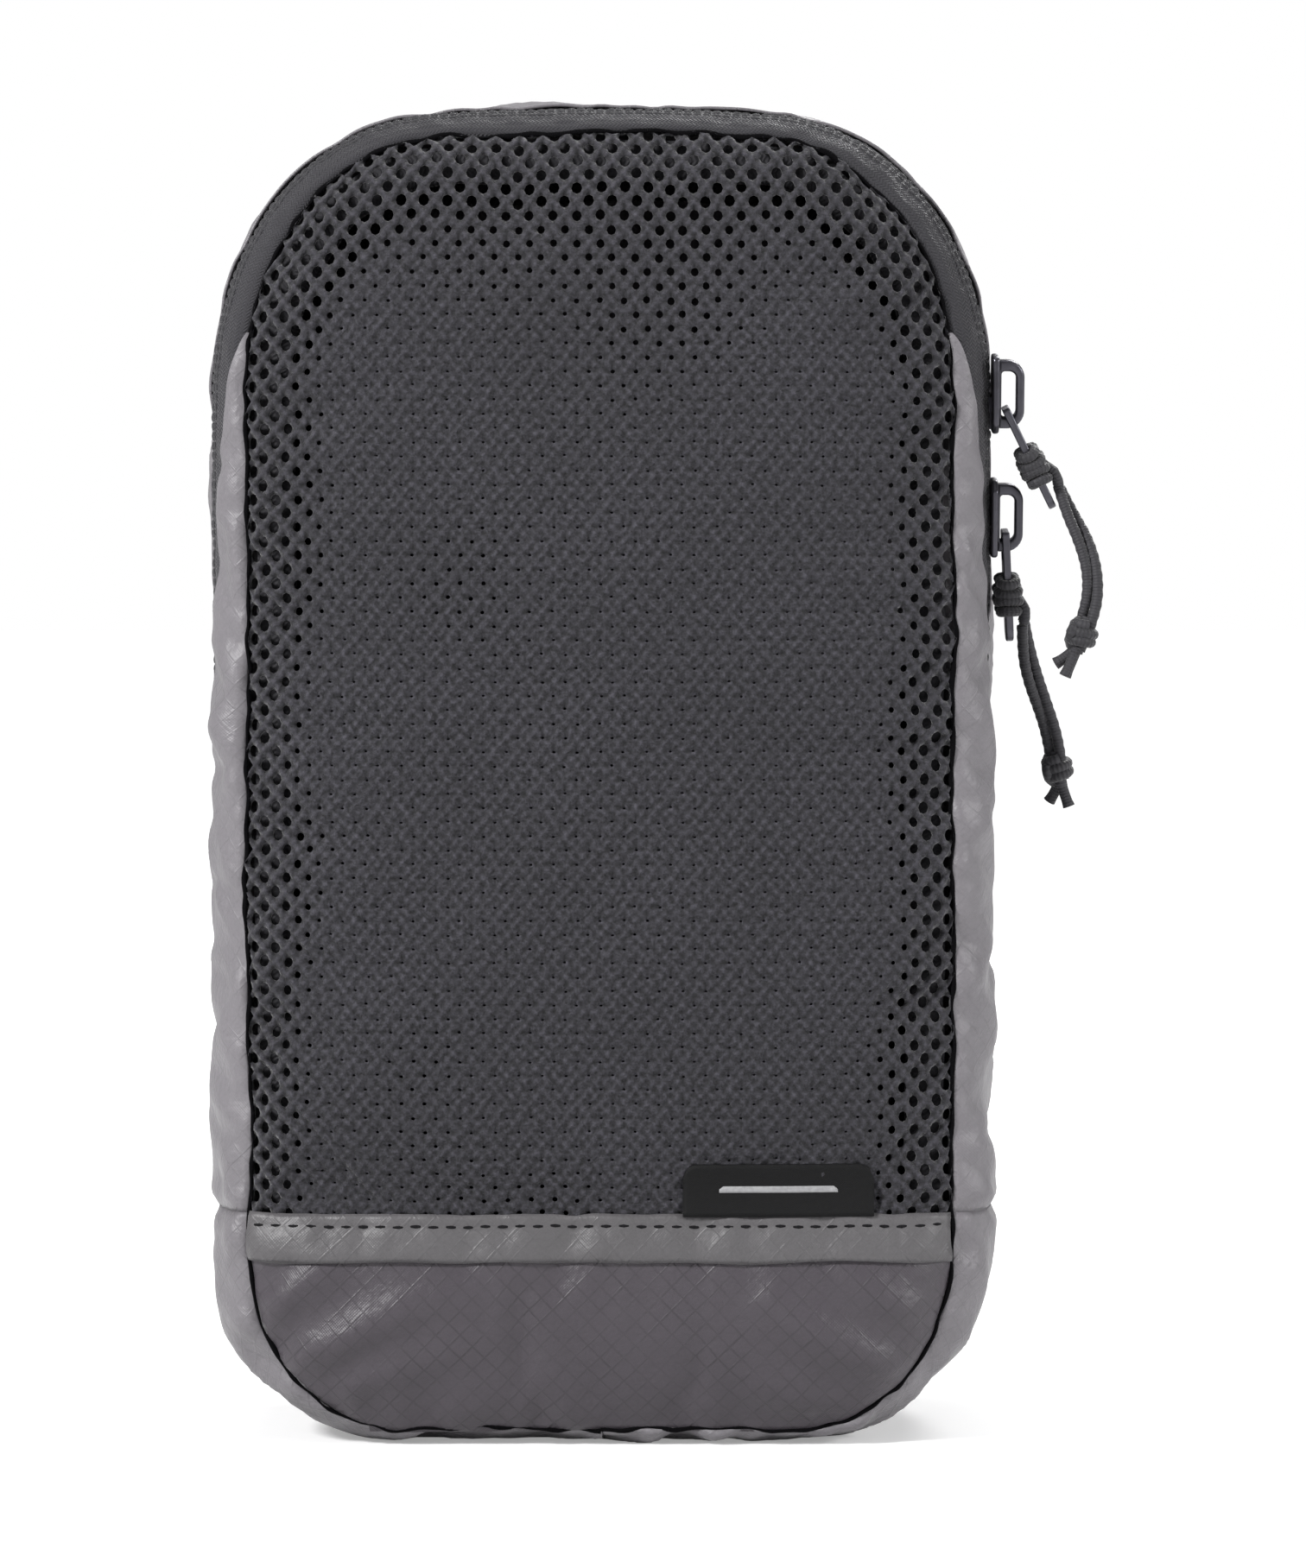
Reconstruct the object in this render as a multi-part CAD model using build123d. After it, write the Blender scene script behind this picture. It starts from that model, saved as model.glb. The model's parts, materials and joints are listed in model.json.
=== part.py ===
from build123d import *
import math
import os

# A small packing cube, stuffed and standing on its bottom strip. Millimetres.
# X runs across the front, +Y points to the rear and +Z up.
# The origin is the centre of the flat face that the cube stands on.

# ---- driving dimensions -------------------------------------------------------------
WIDTH = 120.0
HEIGHT = 206.0
SEAM_DEPTH = 56.0            # front seam to rear seam
FRONT_BULGE = 4.0            # how far the stuffed front stands proud of its seam
BACK_BULGE = 3.0
BULGE_RIM = 12.0             # width of the sloping rim of each bulge
WALL = 1.0                   # cloth thickness in this solid model

TOP_CORNER_RADIUS = 34.0
BOTTOM_CORNER_RADIUS = 29.0
TOP_ARCH_DROP = 3.0          # the top falls by this much from its middle to its corners
TOP_ARCH_RADIUS = 400.0
SEAM_INSET_SIDE = 6.0        # the seams lie this far inside the widest line
SEAM_INSET_TOP = 4.4
SEAM_INSET_BOTTOM = 2.5
SHOULDER_DEPTH = 1.5         # depth over which the strips swell from seam to widest line

JOIN_HEIGHT = 36.0           # foot of the mesh, and of the zip at both sides
LID_GAP = 0.5                # gap between the lid's lower edges and the main body

# The zip runs slanting up each side and then level round the top.
ZIP_FOOT_Y = 0.0
ZIP_TOP_Y = -21.9
ZIP_LEVEL_HEIGHT = 176.0     # above this the zip keeps its distance from the front
TAPE_WIDTH = 6.5             # seen width of each half of the tape
CHAIN_GAP = 0.5              # from the zip's centre line to each half
COIL_WIDTH = 2.2
COIL_THICKNESS = 1.6

BINDING_WIDTH = 5.8
BINDING_THICKNESS = 1.2

LABEL_WIDTH = 29.3
LABEL_HEIGHT = 8.0
LABEL_THICKNESS = 0.6
LABEL_CENTRE_X = 27.2
LABEL_CORNER_RADIUS = 2.0

SLIDER_LENGTH = 12.0
SLIDER_NOSE_HALF = 3.7
SLIDER_HEEL_HALF = 3.0
PLATE_THICKNESS = 1.1
RUNNING_GAP = 0.25           # between the slider and the tape or coil
WEB_THICKNESS = 0.5
CROWN_LENGTH = 10.6
CROWN_TOP = 5.3              # height of the crown above the tape
CROWN_BAR = 1.3
CROWN_WIDTH = 2.4
UPPER_SLIDER_Z = 162.0
LOWER_SLIDER_Z = 143.0

PULLER_LENGTH = 16.8         # from the axis of its top bar to its tip
PULLER_WIDTH = 5.0
PULLER_THICKNESS = 1.2
EYE_LENGTH = 3.6
EYE_WIDTH = 3.3
SLOT_TOP = 7.0
SLOT_FOOT = 12.6
SLOT_WIDTH = 2.8
UPPER_PULLER_ANGLE = 26.0    # degrees out from the zip
LOWER_PULLER_ANGLE = 3.0

HITCH_TOP = 8.0
HITCH_FOOT = 12.6
HITCH_WIDTH = 7.2
HITCH_DEPTH = 4.2
HITCH_CLEARANCE = 0.1

CORD_DIAMETER = 2.8          # the doubled cord as one tube
CORD_START = 14.3            # distance of the cord's swing axis down the puller
CORD_OFFSET = 2.25           # and out from the puller's middle plane
KNOT_DIAMETER = 5.0
KNOT_LENGTH = 5.0
TAIL_DIAMETER = 1.7
TAIL_LENGTH = 4.5
TAIL_SPLAY = 15.0

# Each cord's route as steps from its swing axis, across, to the rear and up.
UPPER_ROUTE = [
    (0, 0, 0), (1.5, -1.3, -4.0), (3.5, -3.1, -8.1), (4.8, -4.4, -12.6), (4.9, -5.1, -17.0),
    (3.9, -5.3, -20.8),
]
LOWER_ROUTE = [
    (0, 0, 0), (0.5, 0.9, -4.2), (1.6, 2.0, -8.4), (3.1, 3.3, -12.4), (4.5, 4.5, -16.3),
    (5.3, 5.3, -19.9),
]

# ---- values worked out from them ----------------------------------------------------
HALF_DEPTH = SEAM_DEPTH / 2
STRIP_END = HALF_DEPTH - WALL            # the strips end on the inner face of the panels
SHOULDER_Y = STRIP_END - SHOULDER_DEPTH
WALL_X = WIDTH / 2
ZIP_SLOPE = (ZIP_FOOT_Y - ZIP_TOP_Y) / (ZIP_LEVEL_HEIGHT - JOIN_HEIGHT)
FAR = 150.0                              # reach of cutting shapes, beyond every piece
LID_FOOT = JOIN_HEIGHT + LID_GAP


# ---- the bag's form -----------------------------------------------------------------
def outline(y, fullness, inset=0.0):
    """The front outline as a face at depth y: fullness 0 is the seam, 1 the widest line."""
    shrink = 1 - fullness
    half = WALL_X - SEAM_INSET_SIDE * shrink - inset
    top = HEIGHT - SEAM_INSET_TOP * shrink - inset
    bottom = SEAM_INSET_BOTTOM * shrink + inset
    tighter = SEAM_INSET_SIDE * shrink + inset
    drop = TOP_ARCH_DROP * half / WALL_X
    arch_radius = TOP_ARCH_RADIUS * half / WALL_X
    apex = top + arch_radius * (1 / math.cos(math.atan2(drop, half)) - 1)
    points = [(0, apex), (half, apex - drop), (half, bottom), (-half, bottom), (-half, apex - drop)]
    top_radius = TOP_CORNER_RADIUS - tighter
    bottom_radius = BOTTOM_CORNER_RADIUS - tighter
    radii = [arch_radius, top_radius, bottom_radius, bottom_radius, top_radius]
    edge = FilletPolyline(*points, radius=radii, close=True)
    return Plane.XZ.offset(-y) * make_face(edge)


def strip_form(inset):
    """The filled form inside the strips, from front seam to rear seam."""
    shoulder = SHOULDER_Y - 0.3 * inset
    return loft([
        outline(-STRIP_END, 0, inset), outline(-shoulder, 1, inset),
        outline(shoulder, 1, inset), outline(STRIP_END, 0, inset),
    ], ruled=True)


def panel_skin(side, bulge):
    """A front (side -1) or rear (side 1) panel: a shallow bulge of even thickness."""
    seam_y = side * HALF_DEPTH
    inner_y = side * STRIP_END
    rim = extrude(outline(inner_y, 0), amount=-side * WALL)
    outer = rim + loft([outline(seam_y, 0), outline(seam_y + side * bulge, 0, BULGE_RIM)],
                       ruled=True)
    inner = loft([outline(inner_y, 0), outline(inner_y + side * bulge, 0, BULGE_RIM)],
                 ruled=True)
    return outer - inner


def zip_line(z):
    """Depth of the zip's centre line at height z."""
    return ZIP_TOP_Y + ZIP_SLOPE * max(0.0, ZIP_LEVEL_HEIGHT - z)


def side_zone(front_line, rear_line, low):
    """All space between two depth lines, each a function of height, above a height."""
    heights = [low, ZIP_LEVEL_HEIGHT, HEIGHT + FAR]
    points = [(front_line(z), z) for z in heights]
    points += [(rear_line(z), z) for z in reversed(heights)]
    face = Plane.YZ * make_face(Polyline(*points, close=True))
    return extrude(face, amount=FAR, both=True)


def beside_zip(near, far, low):
    """The zone between two distances behind (+) or before (-) the zip's centre line."""
    return side_zone(lambda z: zip_line(z) + near, lambda z: zip_line(z) + far, low)


def slab(low, high):
    """All space between two heights."""
    return Pos(0, 0, (low + high) / 2) * Box(2 * FAR, 2 * FAR, high - low)


def right_half(side):
    """All space on the right (side 1) or left (side -1) of the middle."""
    return Pos(side * FAR, 0, HEIGHT / 2) * Box(2 * FAR, 2 * FAR, 2 * FAR)


# ---- cloth pieces -------------------------------------------------------------------
above_join = slab(LID_FOOT, HEIGHT + FAR)
below_join = slab(-FAR, JOIN_HEIGHT)
strips = strip_form(0) - strip_form(WALL)
coil_band = strip_form(WALL) - strip_form(WALL + COIL_THICKNESS)
front_skin = panel_skin(-1, FRONT_BULGE)
parts = {}

parts["back_panel"] = panel_skin(1, BACK_BULGE)
parts["base_panel"] = front_skin & below_join
parts["mesh_window"] = front_skin & above_join
parts["bottom_boxing"] = strips & below_join
parts["rear_boxing"] = strips & side_zone(
    lambda z: zip_line(z) + TAPE_WIDTH + CHAIN_GAP, lambda z: FAR, JOIN_HEIGHT)
gussets = strips & side_zone(
    lambda z: -FAR, lambda z: zip_line(z) - TAPE_WIDTH - CHAIN_GAP, LID_FOOT)
parts["front_gusset_right"] = gussets & right_half(1)
parts["front_gusset_left"] = gussets & right_half(-1)

# ---- zip tapes and coils ------------------------------------------------------------
tape_edge = TAPE_WIDTH + CHAIN_GAP
coil_edge = COIL_WIDTH + CHAIN_GAP
parts["zip_tape_rear"] = strips & beside_zip(CHAIN_GAP, tape_edge, JOIN_HEIGHT)
parts["zip_tape_front"] = strips & beside_zip(-tape_edge, -CHAIN_GAP, LID_FOOT)
parts["zip_coil_rear"] = coil_band & beside_zip(CHAIN_GAP, coil_edge, JOIN_HEIGHT)
parts["zip_coil_front"] = coil_band & beside_zip(-coil_edge, -CHAIN_GAP, LID_FOOT)


# ---- seam bindings, standing inwards from the seams ---------------------------------
def binding_ring(side):
    """A flat ring just inside a seam."""
    face_y = side * (STRIP_END - BINDING_THICKNESS / 2)
    inset = WALL + 0.2
    ring = outline(face_y, 0, inset) - outline(face_y, 0, inset + BINDING_WIDTH)
    return extrude(ring, amount=BINDING_THICKNESS / 2, both=True)


front_binding = binding_ring(-1)
parts["rear_seam_binding"] = binding_ring(1)
parts["base_seam_binding"] = front_binding & below_join
parts["lid_seam_binding"] = front_binding & above_join


# ---- label --------------------------------------------------------------------------
def label():
    """A soft label standing on the foot of the mesh, square below and rounded above."""
    half = LABEL_WIDTH / 2
    low = LID_FOOT + 0.3
    points = [
        (LABEL_CENTRE_X - half, low), (LABEL_CENTRE_X + half, low),
        (LABEL_CENTRE_X + half, low + LABEL_HEIGHT), (LABEL_CENTRE_X - half, low + LABEL_HEIGHT),
    ]
    edge = FilletPolyline(*points, radius=[0, 0, LABEL_CORNER_RADIUS, LABEL_CORNER_RADIUS],
                          close=True)
    face = Plane.XZ.offset(HALF_DEPTH + FRONT_BULGE) * make_face(edge)
    return extrude(face, amount=LABEL_THICKNESS)


parts["label_patch"] = label()


# ---- zip hardware -------------------------------------------------------------------
# Each slider has its own frame at the zip's centre line on the tape's outer face:
# "across" points to the rear along the cloth, "along" up the zip and "out" off the wall.
tilt = math.atan(ZIP_SLOPE)
across = Vector(0, math.cos(tilt), math.sin(tilt))
along = Vector(0, -math.sin(tilt), math.cos(tilt))
out = Vector(1, 0, 0)


def zip_frame(z):
    """Frame with X across, Y along and Z out."""
    return Plane(origin=(WALL_X, zip_line(z), z), x_dir=across, z_dir=out)


def side_frame(z):
    """The same place with X along, Y out and Z across, for side profiles."""
    return Plane(origin=(WALL_X, zip_line(z), z), x_dir=along, z_dir=across)


def slider_body(z, nose):
    """Two plates joined by the web, its wide nose pointing up (nose 1) or down (-1)."""
    half = SLIDER_LENGTH / 2
    nose_w, heel_w = SLIDER_NOSE_HALF, SLIDER_HEEL_HALF
    right = [(heel_w, -half), (nose_w, half / 4), (nose_w, 0.75 * half), (0.55 * nose_w, half)]
    points = [(x, nose * y) for x, y in right] + [(-x, nose * y) for x, y in reversed(right)]
    shape = make_face(FilletPolyline(*points, radius=0.7, close=True))
    floor = -(WALL + COIL_THICKNESS + RUNNING_GAP)
    outer_plate = extrude(Pos(0, 0, RUNNING_GAP) * shape, amount=PLATE_THICKNESS)
    inner_plate = extrude(Pos(0, 0, floor - PLATE_THICKNESS) * shape, amount=PLATE_THICKNESS)
    web_height = RUNNING_GAP - floor + 0.2
    web = Pos(0, nose * 3.0, (RUNNING_GAP + floor) / 2) * Box(WEB_THICKNESS, 5.0, web_height)
    flange_edge = COIL_WIDTH + CHAIN_GAP + RUNNING_GAP
    flange_top = -(WALL + RUNNING_GAP)
    flange = Pos(flange_edge + 0.3, nose * 1.5, (flange_top + floor) / 2 - 0.05) * Box(
        0.6, 5.0, flange_top - floor + 0.1)
    return zip_frame(z) * (outer_plate + inner_plate + web + flange)


def slider_crown(z):
    """The D-shaped loop that stands on the outer plate."""
    foot = RUNNING_GAP + PLATE_THICKNESS
    half = CROWN_LENGTH / 2
    outer = FilletPolyline((-half, foot), (half, foot), (half, CROWN_TOP), (-half, CROWN_TOP),
                           radius=[0.2, 0.2, 2.8, 2.8], close=True)
    inner_half = half - 1.6
    window = FilletPolyline(
        (-inner_half, foot + 0.4), (inner_half, foot + 0.4),
        (inner_half, CROWN_TOP - CROWN_BAR), (-inner_half, CROWN_TOP - CROWN_BAR),
        radius=[0.5, 0.5, 1.1, 1.1], close=True)
    ring = make_face(outer) - make_face(window)
    return side_frame(z) * extrude(ring, amount=CROWN_WIDTH / 2, both=True)


# The puller's bar lies in the lower end of the crown's window.
bar_along = -(CROWN_LENGTH / 2 - 1.6) + 0.45 + PULLER_THICKNESS / 2
bar_out = RUNNING_GAP + PLATE_THICKNESS + 0.4 + 0.25 + PULLER_THICKNESS / 2


def puller_frame(z, angle):
    """Frame on the bar's axis: X across, Y up the puller and Z off its outer face."""
    origin = zip_frame(z).from_local_coords((0, bar_along, bar_out))
    turn = math.radians(angle)
    facing = out * math.cos(turn) + along * math.sin(turn)
    return Plane(origin=origin, x_dir=across, z_dir=facing)


def puller(frame):
    """A flat tab with an eye round the crown and a slot for the cord."""
    half_t = PULLER_THICKNESS / 2
    half_w = PULLER_WIDTH / 2
    blank = FilletPolyline(
        (-half_w, half_t), (half_w, half_t), (half_w, -PULLER_LENGTH), (-half_w, -PULLER_LENGTH),
        radius=[0.5, 0.5, 2.2, 2.2], close=True)
    eye_y = -half_t - EYE_LENGTH / 2
    eye = Pos(0, eye_y) * RectangleRounded(EYE_WIDTH, EYE_LENGTH, 0.4)
    slot_y = -(SLOT_TOP + SLOT_FOOT) / 2
    slot = Pos(0, slot_y) * RectangleRounded(SLOT_WIDTH, SLOT_FOOT - SLOT_TOP, 1.2)
    tab = extrude(make_face(blank) - eye - slot, amount=half_t, both=True)
    return frame * tab


def cord_hitch(frame):
    """The cord's tight hitch as a plain band round the puller."""
    length = HITCH_FOOT - HITCH_TOP
    band = RectangleRounded(HITCH_WIDTH, HITCH_DEPTH, 1.6)
    hole = Rectangle(PULLER_WIDTH + 2 * HITCH_CLEARANCE, PULLER_THICKNESS + 2 * HITCH_CLEARANCE)
    place = Pos(0, -(HITCH_TOP + HITCH_FOOT) / 2, 0) * Rot(90, 0, 0)
    return frame * (place * extrude(band - hole, amount=length / 2, both=True))


def cord_axis(frame):
    """The point where the free cord swings."""
    return frame.from_local_coords((0, -CORD_START, CORD_OFFSET))


def pull_cord(start, route):
    """The free stretch of the doubled cord: straight runs joined by tangent arcs."""
    points = [start + Vector(*step) for step in route]
    runs = [b - a for a, b in zip(points, points[1:])]
    radii = []
    for before, after in zip(runs, runs[1:]):
        half_turn = math.radians(before.get_angle(after)) / 2
        radii.append(0.45 * min(before.length, after.length) / math.tan(half_turn))
    path = FilletPolyline(*points, radius=radii)
    section = Plane(origin=points[0], z_dir=runs[0]) * Circle(CORD_DIAMETER / 2)
    tube = sweep(section, path=path)
    print("cord radii", [round(r, 1) for r in radii], "length", round(path.length, 2),
          "volume ratio", round(tube.volume / (section.area * path.length), 4))
    return tube, points[-1], runs[-1]


def knot(top, direction):
    """An overhand knot as a barrel, with the two cord ends below it."""
    barrel = fillet(Cylinder(KNOT_DIAMETER / 2, KNOT_LENGTH).edges(), 1.0)
    solid = Pos(0, 0, KNOT_LENGTH / 2) * barrel
    for side in (-1, 1):
        tail = Pos(0, 0, (TAIL_LENGTH + 1) / 2) * Cylinder(TAIL_DIAMETER / 2, TAIL_LENGTH + 1)
        place = Pos(side * TAIL_DIAMETER / 2, 0, KNOT_LENGTH - 1) * Rot(0, side * TAIL_SPLAY, 0)
        solid = solid + place * tail
    return Plane(origin=top, x_dir=(0, 1, 0), z_dir=direction) * solid


hardware = [
    ("upper", UPPER_SLIDER_Z, -1, UPPER_PULLER_ANGLE, UPPER_ROUTE),
    ("lower", LOWER_SLIDER_Z, 1, LOWER_PULLER_ANGLE, LOWER_ROUTE),
]
for name, height, nose, angle, route in hardware:
    frame = puller_frame(height, angle)
    parts["slider_body_" + name] = slider_body(height, nose)
    parts["slider_crown_" + name] = slider_crown(height)
    parts["puller_" + name] = puller(frame)
    parts["cord_hitch_" + name] = cord_hitch(frame)
    tube, top, direction = pull_cord(cord_axis(frame), route)
    parts["pull_cord_" + name] = tube
    parts["cord_knot_" + name] = knot(top, direction)
    print(name, "puller axis", frame.origin, "cord axis", cord_axis(frame))

# ---- write one file per piece -------------------------------------------------------
os.makedirs("parts", exist_ok=True)
for name, shape in parts.items():
    export_step(shape, f"parts/{name}.step")
print(len(parts), "pieces, hinge at", -(HALF_DEPTH + FRONT_BULGE), JOIN_HEIGHT, "along", along)
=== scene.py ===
import json
import math

import bpy
import numpy as np
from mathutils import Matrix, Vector, noise
from mathutils.kdtree import KDTree


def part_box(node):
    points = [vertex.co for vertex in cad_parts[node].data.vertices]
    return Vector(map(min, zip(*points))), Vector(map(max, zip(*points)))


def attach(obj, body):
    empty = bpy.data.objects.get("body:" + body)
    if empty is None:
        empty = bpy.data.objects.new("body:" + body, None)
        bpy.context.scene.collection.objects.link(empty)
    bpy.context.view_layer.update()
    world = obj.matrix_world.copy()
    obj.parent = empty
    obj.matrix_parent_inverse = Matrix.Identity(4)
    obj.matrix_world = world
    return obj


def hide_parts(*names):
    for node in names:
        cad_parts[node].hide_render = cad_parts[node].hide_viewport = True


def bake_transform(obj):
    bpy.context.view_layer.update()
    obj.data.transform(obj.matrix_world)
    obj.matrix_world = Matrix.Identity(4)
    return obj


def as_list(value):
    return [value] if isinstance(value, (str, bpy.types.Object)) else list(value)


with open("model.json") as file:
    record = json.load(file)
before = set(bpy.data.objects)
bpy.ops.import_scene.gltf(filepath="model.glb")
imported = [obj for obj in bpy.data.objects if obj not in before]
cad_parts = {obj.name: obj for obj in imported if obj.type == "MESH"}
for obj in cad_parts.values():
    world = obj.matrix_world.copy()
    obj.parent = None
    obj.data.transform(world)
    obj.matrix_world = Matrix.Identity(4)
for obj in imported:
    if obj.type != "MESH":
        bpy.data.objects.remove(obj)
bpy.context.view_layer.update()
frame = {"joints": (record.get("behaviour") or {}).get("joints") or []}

# A small stuffed packing cube: ripstop cloth, a knitted mesh front, a coil zip with two
# corded sliders. Shapes are worked out in millimetres, in the frame's axes: X runs across
# the front, +Y to the rear and +Z up.
MM = 0.001


def cad_box(node):
    """Lowest and highest corner of a CAD node in millimetres."""
    return [np.array(corner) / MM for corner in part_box(node)]


# ---- driving dimensions -----------------------------------------------------------------
HALF_WIDTH = cad_box("rear_boxing")[1][0]
HEIGHT = cad_box("rear_boxing")[1][2]
JOIN = cad_box("bottom_boxing")[1][2]            # foot of the mesh and of the zip
SEAM_Y = cad_box("bottom_boxing")[1][1] + 1.0    # depth of the front and rear seams
CORE_Y = 16.0                                    # the strips are at full width inside this depth
SIDE_INSET = 6.0                                 # the seams lie this far inside the widest line
TOP_INSET, FOOT_INSET = 4.4, 2.5
TOP_CORNER = (36.0, 42.0)                        # half axes of the widest line's upper corners
FOOT_CORNER = (30.0, 30.0)
ARCH_RADIUS = 400.0                              # of the slightly domed top
BULGE = {-1: 4.4, 1: 3.4}                        # front and rear panels stand proud by this much
BULGE_RIM = 9.0                                  # over about this distance in from the seam
CLOTH = 0.45                                     # thickness of the cloth

ZIP_TOP_Y = -21.9                                # the zip's centre line round the top
ZIP_LEVEL_Z = 176.0                              # above this height the centre line runs level
TAPE_WIDTH = 6.5                                 # of one half, as far as it is seen
CHAIN_GAP = 0.25
COIL_PITCH = 1.27

MESH_PITCH = (3.55, 4.28)                        # of the diamond lattice of holes
RIPSTOP_PITCH = 2.55                             # between the thick threads of the ripstop cloth
HEM_HEIGHT = 7.2
HEM_STITCH_DOWN = 1.7                            # from the join down to the stitches
STITCH_PITCH = 2.6
STITCH_RISE = 0.42
FRONT_THREAD_AND_SHADOW, REAR_THREAD_AND_SHADOW = 0.34, 0.4            # radius of the black cords along the seams: thread, and painted shadow of their groove

# ---- the cloth's form -------------------------------------------------------------------
SEGMENT_POINTS = (30, 46, 8, 150, 64, 28)        # bottom, corner, side, side, corner, arch


def half_outline(shrink):
    """The right half of the front outline from bottom to top; shrink 1 is the seam, 0 the widest line."""
    half = HALF_WIDTH - SIDE_INSET * shrink
    top = HEIGHT - TOP_INSET * shrink
    foot = FOOT_INSET * shrink
    centre_x = HALF_WIDTH - FOOT_CORNER[0]
    foot_a, foot_b = FOOT_CORNER[0] - SIDE_INSET * shrink, FOOT_CORNER[1] - 3.0 * shrink
    top_a, top_b = TOP_CORNER[0] - SIDE_INSET * shrink, TOP_CORNER[1] - 5.0 * shrink
    top_x = HALF_WIDTH - TOP_CORNER[0]
    meet = math.atan(top_x / ARCH_RADIUS * top_a / top_b)
    arch_x = top_x + top_a * math.sin(meet)
    top_z = top - arch_x ** 2 / (2 * ARCH_RADIUS) - top_b * math.cos(meet)
    shares = [np.linspace(0, 1, n, endpoint=False) for n in SEGMENT_POINTS]
    low_turn = shares[1] * math.pi / 2
    high_turn = shares[4] * (math.pi / 2 - meet)
    arch = arch_x * (1 - np.append(shares[5], 1.0))
    x = [shares[0] * centre_x, centre_x + foot_a * np.sin(low_turn), half + 0 * shares[2],
         half + 0 * shares[3], top_x + top_a * np.cos(high_turn), arch]
    foot_z = foot + foot_b
    z = [foot + 0 * shares[0], foot_z - foot_b * np.cos(low_turn),
         foot_z + shares[2] * (JOIN - foot_z), JOIN + shares[3] * (top_z - JOIN),
         top_z + top_b * np.sin(high_turn), top - arch ** 2 / (2 * ARCH_RADIUS)]
    return np.concatenate(x), np.concatenate(z)


def whole_outline(shrink):
    """The closed outline from the bottom centre round the right side, the top and the left."""
    x, z = half_outline(shrink)
    return np.stack([np.concatenate([x, -x[-2::-1]]), np.concatenate([z, z[-2::-1]])], 1)


def unit(v):
    return v / np.maximum(np.linalg.norm(v, axis=-1, keepdims=True), 1e-9)


def xyz(x, y, z):
    """Points from their three coordinates, any of which may be a plain number."""
    return np.stack(np.broadcast_arrays(x, y, z), -1)


def run_along(line):
    """Distance along a line to each of its points."""
    return np.concatenate([[0], np.cumsum(np.linalg.norm(np.diff(line, axis=0), axis=1))])


def flat_grid(first, second, indexing="ij"):
    """Every pair of two rows of values, as two flat arrays."""
    return [values.ravel() for values in np.meshgrid(first, second, indexing=indexing)]


def side_normals(line):
    """Outward normals of a closed outline in its own plane."""
    along = np.gradient(line, axis=0)
    return unit(np.stack([along[:, 1], -along[:, 0]], 1))


def ripple(points, size, seed):
    """Smooth noise between about -1 and 1 at each point, with bumps of about that size."""
    shift = Vector((seed * 17.3, seed * 7.1, seed * 3.7))
    return np.array([noise.noise(Vector(p) / size + shift) for p in points]) * 1.6


WIDEST = whole_outline(0.0)
SEAM = whole_outline(1.0)
STATIONS = np.arange(len(SEAM))
LAST = len(SEAM) - 1
JOIN_RIGHT = sum(SEGMENT_POINTS[:3])             # station of the join on the right side
JOIN_LEFT = LAST - JOIN_RIGHT


seam_points = xyz(SEAM[:, 0], 0.0, SEAM[:, 1])
wander = 0.3 * ripple(seam_points, 7.0, 1) + 0.35 * ripple(seam_points, 24.0, 2)
SEAM = SEAM + side_normals(SEAM) * wander[:, None]
SEAM_NORMALS = side_normals(SEAM)
LENGTHS = run_along(WIDEST)

# The strips' depth profile, a quarter ellipse at each seam, by distance along the cloth.
turn = np.linspace(0, math.pi / 2, 60)
quarter_y = -SEAM_Y + (SEAM_Y - CORE_Y) * (1 - np.cos(turn))
PROFILE_Y = np.concatenate([quarter_y, -quarter_y[::-1]])
PROFILE_F = np.concatenate([np.sin(turn), np.sin(turn)[::-1]])
PROFILE_W = np.concatenate([[0], np.cumsum(np.hypot(np.diff(PROFILE_Y), SIDE_INSET * np.diff(PROFILE_F)))])
STRIP_WIDTH = PROFILE_W[-1]


def length_at(s):
    """Distance round the widest line to a station."""
    return np.interp(s, STATIONS, LENGTHS)


def across_at(y):
    """Distance along the strips' cloth from the front seam to depth y."""
    return np.interp(y, PROFILE_Y, PROFILE_W)


def on_outline(line, s):
    return np.stack([np.interp(s, STATIONS, line[:, 0]), np.interp(s, STATIONS, line[:, 1])], -1)


def strip_form(s, w):
    """The strips' smooth form at station s and distance w from the front seam."""
    full = np.interp(w, PROFILE_W, PROFILE_F)[:, None]
    place = on_outline(SEAM, s) * (1 - full) + on_outline(WIDEST, s) * full
    return xyz(place[:, 0], np.interp(w, PROFILE_W, PROFILE_Y), place[:, 1])


def strip_normal(s, w):
    step = 0.4
    down = strip_form(s + step, w) - strip_form(s - step, w)
    over = strip_form(s, np.minimum(w + step, STRIP_WIDTH)) - strip_form(s, np.maximum(w - step, 0))
    return unit(np.cross(over, down))


def bump(distance, width):
    return np.exp(-(distance / width) ** 2)


def seam_height(s, side):
    """How far the cloth stands off its form along a seam: a groove that puckers."""
    place = xyz(length_at(s), 40.0 * side, 0.0)
    return -0.45 + 0.3 * ripple(place, 5.0, 3)


def zip_y(z):
    """Depth of the zip's centre line at height z."""
    slope = -ZIP_TOP_Y / (ZIP_LEVEL_Z - JOIN)
    return ZIP_TOP_Y + slope * np.maximum(0.0, ZIP_LEVEL_Z - z)


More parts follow.
